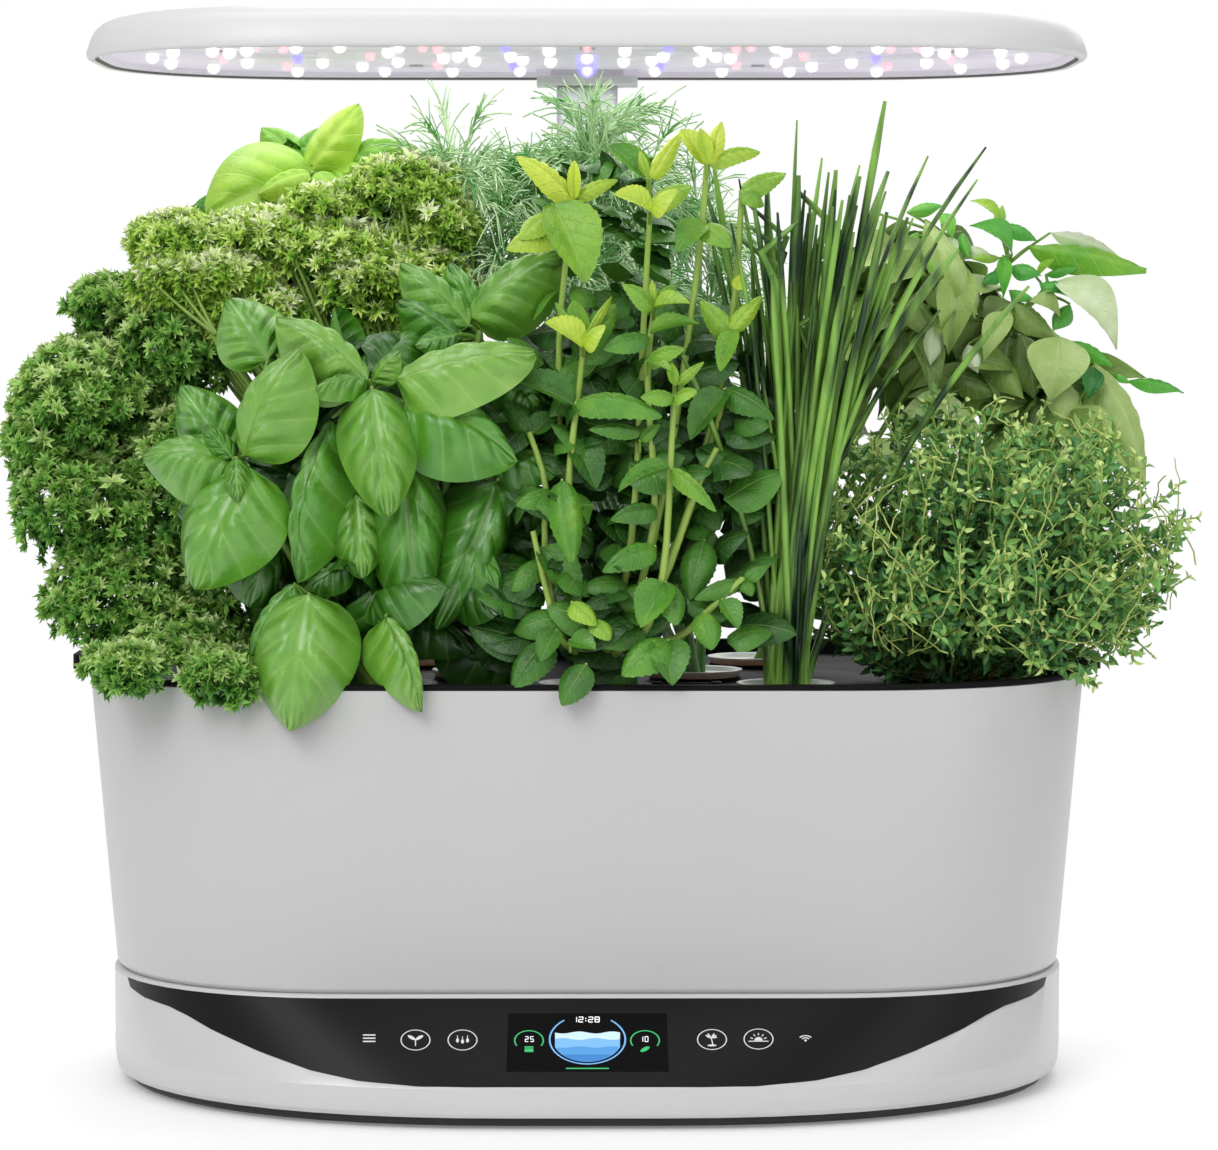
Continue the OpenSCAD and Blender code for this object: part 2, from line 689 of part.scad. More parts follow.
// ---- plants ----
stem_z = sponge_top + clear;
collar_z = deck_top + 8;
knob_z = deck_top + knob_h;
top_z = hood_low - 11.6;
module basil_front() {
  color("limegreen") bush([stem(pods[0], stem_z), stem(pods[0], collar_z),
    [bowl_rim_z + 18, -122, -48, -134, -62], [230, -160, -48, -136, -61],
    [262, -174, -47, -136, -61], [295, -172, -45, -134, -61], [308, -140, -45, -130, -61],
    [322, -110, -60, -118, -66]]);
}
module mint() {
  color("yellowgreen") bush([stem(pods[1], stem_z), stem(pods[1], collar_z),
    [bowl_rim_z + 30, -30, 22, -124, -62], [230, -44, 44, -134, -61], [262, -44, 44, -135, -61],
    [308, -43, 44, -134, -61], [top_z - 61, -38, 44, -128, -61],
    [top_z - 19, -4, 42, -112, -66]]);
}
module chives() {
  color("green") bush([stem(pods[2], stem_z), stem(pods[2], collar_z),
    [230, 58, 97, -122, -61], [262, 50, 98, -124, -61], [295, 47, 98, -126, -61],
    [308, 46, 140, -128, -61], [top_z - 61, 46, 152, -130, -61],
    [top_z - 3, 60, 158, -120, -66]]);
}
module parsley_dark() {
  color("darkgreen") bush([stem(pods[3], stem_z), stem(pods[3], knob_z + 0.8),
    [knob_z + 7, -230, -116, -56, 36], [212, -244, -106, -60, 45], [240, -250, -104, -60, 49],
    [270, -247, -104, -60, 50], [292, -230, -108, -57, 46], [306, -205, -118, -48, 36]], 1);
}
module parsley_bright() {
  color("forestgreen") bush([stem(pods[4], stem_z), stem(pods[4], collar_z),
    [230, -98, -40, -58, 10], [262, -100, -40, -59, 10], [306.5, -102, -40, -60, 10],
    [312, -180, -51, -60, 10], [top_z - 61, -192, -51, -58, 10],
    [top_z - 25, -130, -56, -50, 4]]);
}
module dill() {
  color("darkseagreen") bush([stem(pods[5], stem_z), stem(pods[5], collar_z),
    [230, 2, 88, -58, 10], [262, -38, 96, -59, 10], [308, -38, 94, -60, 10],
    [312, -48, 64, -60, 60], [top_z - 61, -48, 64, -60, 76], [top_z - 25, -50, 63, -50, 80],
    [top_z, -40, 40, -30, 70]]);
}
module thyme() {
  color("olivedrab") bush([stem(pods[6], stem_z), stem(pods[6], knob_z + 0.8),
    [knob_z + 7, 112, 234, -116, 2], [208, 104, 246, -123, 7], [226, 101, 250, -124.5, 8],
    [246, 104, 247, -120, 4], [262, 113, 238, -111, -5], [276, 126, 224, -98, -18],
    [286, 143, 207, -80, -36]], 1);
}
module basil_rear() {
  color("lime") bush([stem(pods[7], stem_z), stem(pods[7], collar_z),
    [262, -100, -50, 14, 84], [308, -100, -52, 13, 86], [top_z - 61, -160, -54, 12, 88],
    [top_z - 25, -165, -60, 12, 88], [top_z - 2, -130, -78, 24, 76]]);
}
module basil_pointed() {
  color("mediumseagreen") bush([stem(pods[8], stem_z), stem(pods[8], collar_z),
    [262, 64, 140, 14, 84], [290, 66, 226, 12, 88], [318, 67, 248, 12, 88],
    [top_z - 61, 70, 250, 12, 88], [top_z - 41, 84, 234, 16, 84], [top_z - 29, 108, 200, 26, 74]],
    1);
}

base_shell();
base_pan();
rubber_feet();
base_screws();
touch_panel();
display_module();
control_board();
wifi_module();
power_board();
dc_inlet();
post_sleeve();
contact_pins();
lower_tube_part();  // lower_tube
middle_tube_part();  // middle_tube
upper_tube_part();  // upper_tube
hood_bracket();
hood_shell();
hood_lens();
led_board();
white_led_chips();  // white_leds
red_led_chips();  // red_leds
blue_led_chips();  // blue_leds
hood_screws();
bowl();
contact_plate();
grow_deck();
fill_lid();
lid_pin();
grow_baskets();
grow_sponges();
pod_collars();
pump_body();
pump_cover();
pump_impeller();
pump_filter();
riser_tube();
float_guide();
water_float();
basil_front();
mint();
chives();
parsley_dark();
parsley_bright();
dill();
thyme();
basil_rear();
basil_pointed();
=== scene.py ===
import math
import random

import bmesh
import bpy
from mathutils import Matrix, Vector
from mathutils.bvhtree import BVHTree


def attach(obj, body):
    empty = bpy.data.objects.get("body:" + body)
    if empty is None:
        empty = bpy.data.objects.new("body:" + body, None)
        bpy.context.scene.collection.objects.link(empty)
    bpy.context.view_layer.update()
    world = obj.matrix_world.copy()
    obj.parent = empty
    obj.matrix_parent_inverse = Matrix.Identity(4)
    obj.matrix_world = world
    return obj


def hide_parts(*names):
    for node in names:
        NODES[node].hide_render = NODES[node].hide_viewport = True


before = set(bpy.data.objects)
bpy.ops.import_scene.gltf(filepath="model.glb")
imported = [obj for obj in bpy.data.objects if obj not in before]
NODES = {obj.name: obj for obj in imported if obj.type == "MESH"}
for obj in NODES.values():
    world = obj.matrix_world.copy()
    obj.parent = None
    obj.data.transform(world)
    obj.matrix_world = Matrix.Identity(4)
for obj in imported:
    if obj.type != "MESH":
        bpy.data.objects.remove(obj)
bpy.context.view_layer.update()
MM = 0.001
dice = random.Random(7)

# ---------------------------------------------------------------- camera
# the frame and the focal length in pixels, and how far the object's middle is from the camera, in mm
FRAME_WIDE, FRAME_TALL, FOCAL, DISTANCE = 1218, 1150, 4305.5, 1813
SENSOR = 36
CAMERA_AT = Vector((1.2, -1813.1, 317.2)) * MM
# radians down and to the right
PITCH, TURN = 0.0601, 0.0044
FORWARD = Vector((math.sin(TURN) * math.cos(PITCH), math.cos(TURN) * math.cos(PITCH), -math.sin(PITCH)))
RIGHT = Vector((math.cos(TURN), -math.sin(TURN), 0))
UP = RIGHT.cross(FORWARD)

lens = bpy.data.cameras.new("camera")
lens.sensor_width = SENSOR
lens.lens = SENSOR * FOCAL / FRAME_WIDE
lens.clip_end = 50
camera = bpy.data.objects.new("camera", lens)
camera.location = CAMERA_AT
camera.rotation_euler = (math.pi / 2 - PITCH, 0, -TURN)
bpy.context.scene.collection.objects.link(camera)
bpy.context.scene.camera = camera


def sight(px, py):
    """Direction of the view through a point of the frame."""
    right, up = (px - FRAME_WIDE / 2) / FOCAL, (FRAME_TALL / 2 - py) / FOCAL
    return (RIGHT * right + UP * up + FORWARD).normalized()


def spot(px, py, depth):
    """The place in metres seen at px, py, at that depth in mm behind the object's middle."""
    d = sight(px, py)
    return CAMERA_AT + d * ((depth * MM - CAMERA_AT.y) / d.y)


def pixel(depth):
    """The size in mm of a pixel of the frame at that depth."""
    return (DISTANCE + depth) / FOCAL


# ---------------------------------------------------------------- materials
def linear(code):
    """An sRGB hex colour as linear light, without transparency."""
    n = int(code, 16)
    parts = [((n >> s) & 255) / 255 for s in (16, 8, 0)]
    return tuple(c / 12.92 if c <= 0.04045 else ((c + 0.055) / 1.055) ** 2.4 for c in parts) + (1.0,)


def add(tree, kind, inputs=None, **settings):
    """Adds a node; a socket of inputs takes a value, an output, or a node for its first output."""
    node = tree.nodes.new(kind)
    for key, value in settings.items():
        setattr(node, key, value)
    for key, value in (inputs or {}).items():
        if isinstance(value, bpy.types.Node):
            value = value.outputs[0]
        if isinstance(value, bpy.types.NodeSocket):
            tree.links.new(value, node.inputs[key])
        else:
            node.inputs[key].default_value = value
    return node


def new_material(name, base, roughness, **sockets):
    """A principled material, its node tree and its shader."""
    m = bpy.data.materials.new(name)
    m.use_nodes = True
    shader = m.node_tree.nodes["Principled BSDF"]
    shader.inputs["Base Color"].default_value = linear(base)
    shader.inputs["Roughness"].default_value = roughness
    for key, value in sockets.items():
        shader.inputs[key.replace("_", " ")].default_value = value
    return m, m.node_tree, shader


def moulded(name, base, roughness, grain_mm, depth, dark, **sockets):
    """Moulded plastic: a fine spark-eroded grain in bump and roughness, and a faint drift of colour."""
    m, tree, shader = new_material(name, base, roughness, **sockets)
    place = add(tree, "ShaderNodeTexCoord")
    grain = add(tree, "ShaderNodeTexNoise", {"Vector": place.outputs["Object"], "Scale": 1000 / grain_mm,
                                             "Detail": 3.0, "Roughness": 0.55})
    drift = add(tree, "ShaderNodeTexNoise", {"Vector": place.outputs["Object"], "Scale": 9.0, "Detail": 2.0})
    rough = add(tree, "ShaderNodeMapRange", {
        "Value": grain.outputs["Fac"], "From Min": 0.25, "From Max": 0.75,
        "To Min": roughness - 0.05, "To Max": roughness + 0.07})
    tree.links.new(rough.outputs["Result"], shader.inputs["Roughness"])
    mix = add(tree, "ShaderNodeMix", {0: drift.outputs["Fac"], 6: linear(base), 7: linear(dark)},
              data_type="RGBA")
    tree.links.new(mix.outputs[2], shader.inputs["Base Color"])
    bump = add(tree, "ShaderNodeBump", {
        "Height": grain.outputs["Fac"], "Strength": depth, "Distance": 0.1 * MM})
    tree.links.new(bump.outputs["Normal"], shader.inputs["Normal"])
    return m


# satin pearl ABS of the base: a silvery paint over a smooth moulding, soft wide highlight
pearl_abs = moulded("pearl_painted_abs", "D6D6D7", 0.34, 0.5, 0.12, "CECED0", Metallic=0.12,
                    Coat_Weight=0.15, Coat_Roughness=0.25)
# light grey satin ABS of the bowl
bowl_abs = moulded("satin_grey_abs", "C9C9C9", 0.36, 0.6, 0.15, "C4C4C4",
                   Coat_Weight=0.1, Coat_Roughness=0.3)
# white satin ABS of the lamp hood
hood_abs = moulded("satin_white_abs", "DDDDDE", 0.38, 0.6, 0.12, "D7D7D9",
                   Coat_Weight=0.1, Coat_Roughness=0.3)
# black polypropylene of the deck and baskets: low sheen, fine spark texture
deck_pp = moulded("black_polypropylene", "131314", 0.62, 0.7, 0.3, "0E0E0F", Specular_IOR_Level=0.1)
# dark brown-black pan under the base
pan_pp = moulded("dark_pan_polypropylene", "201A18", 0.5, 0.8, 0.3, "181412")
# light grey paint on the aluminium post tubes
post_paint = moulded("grey_painted_aluminium", "CDCCD2", 0.32, 0.5, 0.08, "C8C7CE", Metallic=0.25)
# silicone rubber of the feet
foot_rubber = moulded("silicone_rubber", "141414", 0.7, 0.9, 0.4, "0F0F0F")
# white polypropylene of the pod collars
collar_pp = moulded("white_polypropylene", "E6E6E2", 0.35, 0.6, 0.1, "DADAD4", Subsurface_Weight=0.1)
# peat and coir sponge: dark open pores
sponge_peat = moulded("peat_sponge", "1B1510", 0.95, 2.2, 1.0, "120D09")
# bright plastic of the float and rotor
signal_pp = moulded("orange_polypropylene", "C25A1C", 0.45, 0.7, 0.2, "B44F16")
# grey plastic of the riser and float rod
rod_pp = moulded("grey_polypropylene", "8E9194", 0.45, 0.7, 0.2, "85888B")
# green solder mask over glass fibre
board_mask = moulded("solder_mask", "1C5A36", 0.35, 1.2, 0.3, "144A2B")
# tin-plated steel can of the radio module
module_tin = moulded("tinned_steel", "9D9E9F", 0.35, 0.8, 0.2, "8F9092", Metallic=1.0)
# zinc-plated steel of the screws and the lid's pin
zinc_steel = moulded("zinc_plated_steel", "A9ABAD", 0.3, 0.4, 0.2, "9A9CA0", Metallic=1.0)
# gold-plated brass of the contacts
gold_brass = moulded("gold_plated_brass", "C9A24A", 0.28, 0.4, 0.15, "BE963E", Metallic=1.0)
# reticulated filter foam
filter_foam = moulded("filter_foam", "1B1B1C", 0.95, 1.4, 1.0, "101010")
# black acrylic touch panel: deep gloss with a smoky grey body
panel_acrylic = moulded("smoked_acrylic", "121213", 0.36, 0.4, 0.02, "0F0F10", Specular_IOR_Level=0.22)
# display glass, blacker than the panel
display_glass = new_material("display_glass", "070708", 0.2, Specular_IOR_Level=0.08)[0]
# white reflective film on the lamp board; its glow is painted light, standing in for the chips' light that it
# throws back
film_painted_glow = new_material("reflector_film", "DED8E4", 0.5,
                    Emission_Color=linear("DCD2E6"), Emission_Strength=0.38)[0]
# painted shade in the joint between the hood's rim and its lens, where the rim shadows it
joint_painted_shade = new_material("painted_shade_joint", "6A6468", 0.7)[0]


def glowing(name, code, strength):
    """Ink or a chip that gives its own light."""
    return new_material(name, code, 0.4, Emission_Color=linear(code), Emission_Strength=strength)[0]


def haze(name, base, alpha, code, strength):
    """The soft halo that the cover's frost throws round a chip."""
    return new_material(name, base, 1.0, Alpha=alpha,
                        Emission_Color=linear(code), Emission_Strength=strength)[0]


white_chip = glowing("white_phosphor_chip", "FFFDF8", 3.0)
red_chip = glowing("red_chip", "FF9AA4", 1.6)
blue_chip = glowing("blue_chip", "7F78FF", 1.8)
key_ink = glowing("white_key_ink", "C9C9CB", 0.35)
screen_blue = glowing("screen_blue", "6FA9DC", 0.45)
screen_water = glowing("screen_water", "4A90CC", 0.4)
screen_deep = glowing("screen_deep_water", "3379BC", 0.4)
screen_foam = glowing("screen_pale_water", "C2DCEE", 0.35)
screen_green = glowing("screen_green", "2BA45E", 0.6)
screen_white = glowing("screen_white", "E8EAEC", 0.7)

# clear polycarbonate cover with a faint frost that spreads the chips' light
cover_pc = new_material("frosted_polycarbonate", "E9E7EF", 0.2, Alpha=0.12)[0]
white_halo = haze("white_halo", "FFFFFF", 0.16, "FFF6F4", 1.6)
red_halo = haze("red_halo", "FFC8CC", 0.16, "FFB4BC", 1.2)
blue_halo = haze("blue_halo", "A8A0FF", 0.22, "8F86FF", 1.3)


# ---------------------------------------------------------------- CAD nodes that keep their shape
def soft_edges(o, width, segments, angle):
    """Rounds the edges of a piece that turn by more than angle, in degrees, by a live bevel."""
    b = o.modifiers.new("edges", "BEVEL")
    b.width, b.segments = width * MM, segments
    b.limit_method, b.angle_limit = "ANGLE", math.radians(angle)
    b.harden_normals = True


def dress(name, material, bevel_mm):
    """Gives a CAD node its material, soft edges and smooth shading, all by modifiers."""
    o = NODES[name]
    o.data.materials.clear()
    o.data.materials.append(material)
    for p in o.data.polygons:
        p.use_smooth = True
        p.material_index = 0
    weld = o.modifiers.new("weld", "WELD")
    weld.merge_threshold = 0.02 * MM
    if bevel_mm:
        soft_edges(o, bevel_mm, 2, 28)


for names, material, bevel in (
    (["base_shell"], pearl_abs, 0.5),
    (["bowl"], bowl_abs, 0.5),
    (["hood_bracket", "post_sleeve"], hood_abs, 0.4),
    (["lower_tube", "middle_tube", "upper_tube"], post_paint, 0.3),
    (["base_pan"], pan_pp, 0.3),
    (["rubber_feet"], foot_rubber, 0.3),
    (["grow_deck", "fill_lid"], deck_pp, 0.35),
    (["grow_baskets", "pump_body", "pump_cover", "dc_inlet"], deck_pp, 0.2),
    (["pod_collars"], collar_pp, 0.2),
    (["grow_sponges"], sponge_peat, 0.4),
    (["pump_impeller", "water_float"], signal_pp, 0.2),
    (["pump_filter"], filter_foam, 0.2),
    (["riser_tube", "float_guide"], rod_pp, 0.2),
    (["control_board", "power_board"], board_mask, 0.1),
    (["wifi_module"], module_tin, 0.2),
    (["base_screws", "hood_screws", "lid_pin"], zinc_steel, 0.1),
    (["contact_pins", "contact_plate"], gold_brass, 0.1),
    (["display_module"], display_glass, 0.1),
    # the lamp board's film glows with painted light
    (["led_board"], film_painted_glow, 0),
    (["hood_lens"], cover_pc, 0),
    (["white_leds"], white_chip, 0),
    (["red_leds"], red_chip, 0),
    (["blue_leds"], blue_chip, 0),
):
    for name in names:
        dress(name, material, bevel)


# ---------------------------------------------------------------- floor, light, view
def plain_mesh(name, bm, materials, body=None, smooth=False):
    """Turns a bmesh into an object, and rides it on a body."""
    me = bpy.data.meshes.new(name)
    bm.to_mesh(me)
    bm.free()
    if smooth:
        me.polygons.foreach_set("use_smooth", [True] * len(me.polygons))
    for m in materials if isinstance(materials, list) else [materials]:
        me.materials.append(m)
    o = bpy.data.objects.new(name, me)
    bpy.context.scene.collection.objects.link(o)
    if body:
        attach(o, body)
    return o


def seen_by(tree, kinds):
    """One where a ray comes from the camera or is of a kind named, and else nought."""
    path = add(tree, "ShaderNodeLightPath")
    seen = path.outputs["Is Camera Ray"]
    for kind in kinds:
        seen = add(tree, "ShaderNodeMath", {0: seen, 1: path.outputs[kind]}, operation="MAXIMUM").outputs[0]
    return seen


# near the object the floor keeps its shadow; from NEAR to FAR, in metres, it turns white
NEAR, FAR = 0.26, 0.6
WHITE = (1, 1, 1, 1)
floor_white, tree, shader = new_material("studio_floor", "F4F4F4", 0.6, Emission_Color=WHITE)
seen = seen_by(tree, ("Is Glossy Ray", "Is Transmission Ray"))
lift = add(tree, "ShaderNodeMath", {0: seen, 1: 0.2}, operation="MULTIPLY")
tree.links.new(lift.outputs[0], shader.inputs["Emission Strength"])
place = add(tree, "ShaderNodeTexCoord")
away = add(tree, "ShaderNodeVectorMath", {0: place.outputs["Object"]}, operation="LENGTH")
far = add(tree, "ShaderNodeMapRange", {"Value": away.outputs["Value"], "From Min": NEAR, "From Max": FAR},
          interpolation_type="SMOOTHSTEP")
far = add(tree, "ShaderNodeMath", {0: far, 1: seen}, operation="MULTIPLY")
white = add(tree, "ShaderNodeEmission", {"Color": WHITE, "Strength": 1.0})
blend = add(tree, "ShaderNodeMixShader", {0: far, 1: shader, 2: white})
tree.links.new(blend.outputs[0], tree.nodes["Material Output"].inputs["Surface"])
bm = bmesh.new()
bmesh.ops.create_grid(bm, x_segments=1, y_segments=1, size=6)
floor = plain_mesh("floor", bm, floor_white)

world = bpy.data.worlds.new("studio")
world.use_nodes = True
bpy.context.scene.world = world
tree = world.node_tree
tree.nodes.clear()
# white where it is seen, and a softer light on the object
strength = add(tree, "ShaderNodeMapRange", {"Value": seen_by(tree, ("Is Transmission Ray",)),
                                            "To Min": 0.55, "To Max": 1.0})
sky = add(tree, "ShaderNodeBackground", {"Color": WHITE, "Strength": strength})
add(tree, "ShaderNodeOutputWorld", {"Surface": sky})


def softbox(name, at, target, width, height, watts):
    """A lamp with an oblong face, its place, target and size in metres."""
    light = bpy.data.lights.new(name, "AREA")
    light.shape = "RECTANGLE"
    light.size, light.size_y, light.energy = width, height, watts
    o = bpy.data.objects.new(name, light)
    o.location = at
    o.rotation_euler = (Vector(target) - Vector(at)).to_track_quat("-Z", "Y").to_euler()
    bpy.context.scene.collection.objects.link(o)
    return o


softbox("key", (-0.9, -1.6, 1.6), (0, 0, 0.2), 1.2, 1.2, 19)
softbox("fill", (1.3, -1.3, 0.9), (0, 0, 0.2), 1.0, 1.4, 4.6)
softbox("top", (0.0, 0.3, 2.0), (0, 0, 0.2), 1.6, 1.2, 11)
softbox("back", (0.4, 1.7, 1.2), (0, 0, 0.25), 1.5, 1.0, 9)
softbox("chips", (0, -0.01, 0.42), (0, -0.01, 0), 0.36, 0.2, 0.3).visible_camera = False

# ---------------------------------------------------------------- hood, panel, its printing and lights
# how square the rounded outlines are, a circle being 2
CORNER = 2.2
# half width, half depth and corner size of the hood in mm, the steps of a corner and of the whole outline
HOOD = (206.6, 122.5, 106)
STEPS = 26
ROUND = 4 * (STEPS + 1)
# height and inset of each outline: inside, from the lamp board down to the lens joint
INSIDE = [(436, 30), (436, 16), (434, 9.6), (430, 8.4), (424.4, 7.2), (424.4, 5.2), (423.3, 5.1),
          (422.4, 3.4)]
# the step of the inside that is the joint at the lens
JOINT = 6
# outside, the side leans in slowly, then rolls over to a softly domed top
SIDE = [(422.2, 1.5), (422.7, 0.6), (423.6, 0.1), (425, 0.0), (428, 0.9), (431, 2.0), (434, 3.8),
        (436.3, 6.4), (438, 10.2), (439.2, 15.5), (440, 22), (440.7, 30), (441.5, 42), (442.9, 62),
        (444.5, 84), (445.8, 102)]


def hood_skin(levels):
    """A bmesh drawn from one circle through outlines of the hood, each a height and an inset."""
    bm = bmesh.new()
    turn = bm.verts.layers.int.new("turn")
    bmesh.ops.create_circle(bm, segments=ROUND, radius=1)
    for v in bm.verts:
        v[turn] = round(math.atan2(v.co.y, v.co.x) / (2 * math.pi) * ROUND) % ROUND
    loop, edges = bm.verts[:], bm.edges[:]
    for n, (z, inset) in enumerate(levels):
        if n:
            grown = bmesh.ops.extrude_edge_only(bm, edges=edges)["geom"]
            loop = [g for g in grown if isinstance(g, bmesh.types.BMVert)]
            held = set(loop)
            edges = [g for g in grown if isinstance(g, bmesh.types.BMEdge) and set(g.verts) <= held]
        half, deep, r = (size - inset for size in HOOD)
        for v in loop:
            q, i = divmod(v[turn], STEPS + 1)
            t = math.pi / 2 * (i if q in (0, 2) else STEPS - i) / STEPS
            x = half - r + r * max(0, math.cos(t)) ** (2 / CORNER)
            y = deep - r + r * max(0, math.sin(t)) ** (2 / CORNER)
            v.co = Vector((x if q in (0, 3) else -x, y if q < 2 else -y, z)) * MM
    bmesh.ops.contextual_create(bm, geom=edges)
    bmesh.ops.recalc_face_normals(bm, faces=bm.faces)
    return bm


bm = hood_skin(INSIDE + SIDE)
# inside it is the film down to the joint, glowing with painted light, and painted shade at the joint
bm.faces.index_update()
for f in bm.faces:
    level = f.index // ROUND
    f.material_index = 1 if level < JOINT else 2 if level == JOINT else 0
hood = plain_mesh("hood_cover", bm, [hood_abs, film_painted_glow, joint_painted_shade], "lamp", smooth=True)
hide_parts("hood_shell")


def chips_of(node):
    """The middle of each chip of a CAD node, found from its loose parts."""
    bm = bmesh.new()
    bm.from_mesh(NODES[node].data)
    bmesh.ops.remove_doubles(bm, verts=bm.verts, dist=1e-5)
    found, left = [], dict.fromkeys(bm.verts)
    while left:
        part, queue = [], [left.popitem()[0]]
        while queue:
            v = queue.pop()
            part.append(v)
            joined = [w for w in (e.other_vert(v) for e in v.link_edges) if w in left]
            for w in joined:
                del left[w]
            queue += joined
        found.append(sum((v.co for v in part), Vector()) / len(part))
    bm.free()
    return found


def beads(name, spots, radius, material, z):
    """A round bead of light under each chip, its radius and height in mm."""
    bm = bmesh.new()
    for p in spots:
        bmesh.ops.create_icosphere(bm, subdivisions=2, radius=radius * MM,
                                   matrix=Matrix.Translation((p.x, p.y, z * MM)))
    o = plain_mesh(name, bm, material, "lamp", smooth=True)


for node, bead, halo, slot, size in (("white_leds", white_chip, white_halo, "led_white", 1.0),
                                     ("red_leds", red_chip, red_halo, "led_red", 0.8),
                                     ("blue_leds", blue_chip, blue_halo, "led_blue", 0.9)):
    at = chips_of(node)
    beads(node.replace("leds", "beads"), at, 1.1 * size, bead, 424.3)
    beads(node.replace("leds", "inner_halos"), at, 1.9 * size, halo, 424.3)
    beads(node.replace("leds", "halos"), at, 2.9 * size, halo, 424.5)
beads("middle_halo", [Vector((0, -0.01, 0)), Vector((0, 0.05, 0))], 5.0, blue_halo, 424.3)

# the base's front: height, half width, reach to the front, and the front corners' sizes
FRONT = [(16.5, 198.5, 152, 166, 146), (18, 198.3, 150.5, 165, 144), (47.3, 197.8, 119.5, 106, 105),
         (48.5, 196.9, 118.5, 105, 104)]
# the panel's lower edge: how far from the middle, and height
EDGE = [(0, 17.4), (66, 17.4), (90, 18.7), (109, 21.6), (130, 27.1), (150, 33.5), (160, 37.5), (168, 39.9),
        (180, 41.4), (186.5, 43.6), (188, 47.1)]
PANEL_HALF, PANEL_TOP = 187.9, 47.1


def between(rows, k):
    """The row of a table at k, its first column, by straight lines."""
    for a, b in zip(rows, rows[1:]):
        if k <= b[0]:
            f = max(0, (k - a[0]) / (b[0] - a[0]))
            return [p + (q - p) * f for p, q in zip(a, b)]
    return list(rows[-1])


def front_y(x, z):
    """Depth of the base's front at a place."""
    _, a, f, rx, ry = between(FRONT, z)
    c = max(0.0, min(1.0, (abs(x) - a + rx) / rx))
    return -(f - ry + ry * (1 - c ** CORNER) ** (1 / CORNER))


bm = bmesh.new()
bmesh.ops.create_grid(bm, x_segments=188, y_segments=16, size=0.5)
for v in bm.verts:
    x = v.co.x * 2 * PANEL_HALF
    low = between(EDGE, abs(x))[1]
    z = low + (PANEL_TOP - low) * (v.co.y + 0.5)
    v.co = Vector((x, front_y(x, z) - 0.05, z)) * MM
bmesh.ops.remove_doubles(bm, verts=bm.verts, dist=0.00005)
bmesh.ops.recalc_face_normals(bm, faces=bm.faces)
if sum(f.normal.y for f in bm.faces) > 0:
    bmesh.ops.reverse_faces(bm, faces=bm.faces)
panel_skin = BVHTree.FromBMesh(bm)
panel = plain_mesh("panel_glass", bm, panel_acrylic, "base", smooth=True)
wall = panel.modifiers.new("thickness", "SOLIDIFY")
wall.thickness, wall.offset = 1.8 * MM, -1
soft_edges(panel, 0.3, 3, 50)
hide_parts("touch_panel")


def fresh(bm):
    """The vertices made since the last call."""
    new = [v for v in bm.verts if not v.tag]
    for v in new:
        v.tag = True
    return new


def ring(bm, cx, cy, rx, ry, wide, start=0, sweep=360):
    """An arc of even width about cx, cy, from start counter-clockwise, in frame pixels."""
    a, b = bm.verts.new((1, 0, 0)), bm.verts.new((1 - wide / rx, 0, 0))
    e = bm.edges.new((a, b))
    bmesh.ops.spin(bm, geom=[a, b, e], cent=(0, 0, 0), axis=(0, 0, 1), angle=math.radians(sweep),
                   steps=max(8, sweep // 8), use_merge=sweep == 360)
    new = fresh(bm)
    bmesh.ops.rotate(bm, verts=new, cent=(0, 0, 0), matrix=Matrix.Rotation(math.radians(start), 3, "Z"))
    for v in new:
        v.co = (cx + v.co.x * rx, cy - v.co.y * ry, 0)


def bar(bm, x0, y0, x1, y1, wide):
    """A straight stroke."""
    a, b = Vector((x0, y0, 0)), Vector((x1, y1, 0))
    side = (b - a).normalized().cross(Vector((0, 0, 1))) * wide / 2
    long = max(1, int((b - a).length / 6))
    bmesh.ops.create_grid(bm, x_segments=long, y_segments=1, size=0.5)
    for v in fresh(bm):
        v.co = a.lerp(b, v.co.x + 0.5) + side * v.co.y * 2


def blob(bm, cx, cy, rx, ry, lean=0.0, half=False):
    """A filled oval, or its upper half."""
    bmesh.ops.create_circle(bm, cap_ends=True, cap_tris=True, segments=28, radius=1)
    new = fresh(bm)
    for v in new:
        if half and v.co.y < 0:
            v.co.y = 0
        x, y = v.co.x * rx, v.co.y * ry
        v.co = (cx + x * math.cos(lean) - y * math.sin(lean), cy - x * math.sin(lean) - y * math.cos(lean), 0)


# the bars of each digit, a to g
SEGMENTS = {"0": "abcdef", "1": "bc", "2": "abged", "5": "afgcd", "8": "abcdefg"}


def number(bm, text, x, y, wide, tall, ink):
    """Seven-bar digits from their upper left corner on."""
    for c in text:
        if c == ":":
            for down in (0.27, 0.75):
                blob(bm, x + 0.6, y + tall * down, 0.6, 0.6)
            x += 3.4
            continue
        right, mid, low = x + wide, y + tall / 2, y + tall
        places = {"a": (x, y, right, y), "b": (right, y, right, mid), "c": (right, mid, right, low),
                  "d": (x, low, right, low), "e": (x, mid, x, low), "f": (x, y, x, mid),
                  "g": (x, mid, right, mid)}
        for k in SEGMENTS[c]:
            bar(bm, *places[k], ink)
        x += wide + 2.2


def printed(name, bm, material, lift):
    """Lays a flat drawing in frame pixels onto the panel as seen, a little above it."""
    # long edges are cut, so that they follow the curved panel
    long = [e for e in bm.edges if e.calc_length() > 9]
    bmesh.ops.subdivide_edges(bm, edges=long, cuts=3, use_grid_fill=True)
    for v in bm.verts:
        d = sight(v.co.x, v.co.y)
        v.co = panel_skin.ray_cast(CAMERA_AT, d)[0] - d * lift * MM
    bmesh.ops.recalc_face_normals(bm, faces=bm.faces)
    for f in bm.faces:
        f.normal_update()
        if f.normal.y > 0:
            f.normal_flip()
    o = plain_mesh(name, bm, material, "base")


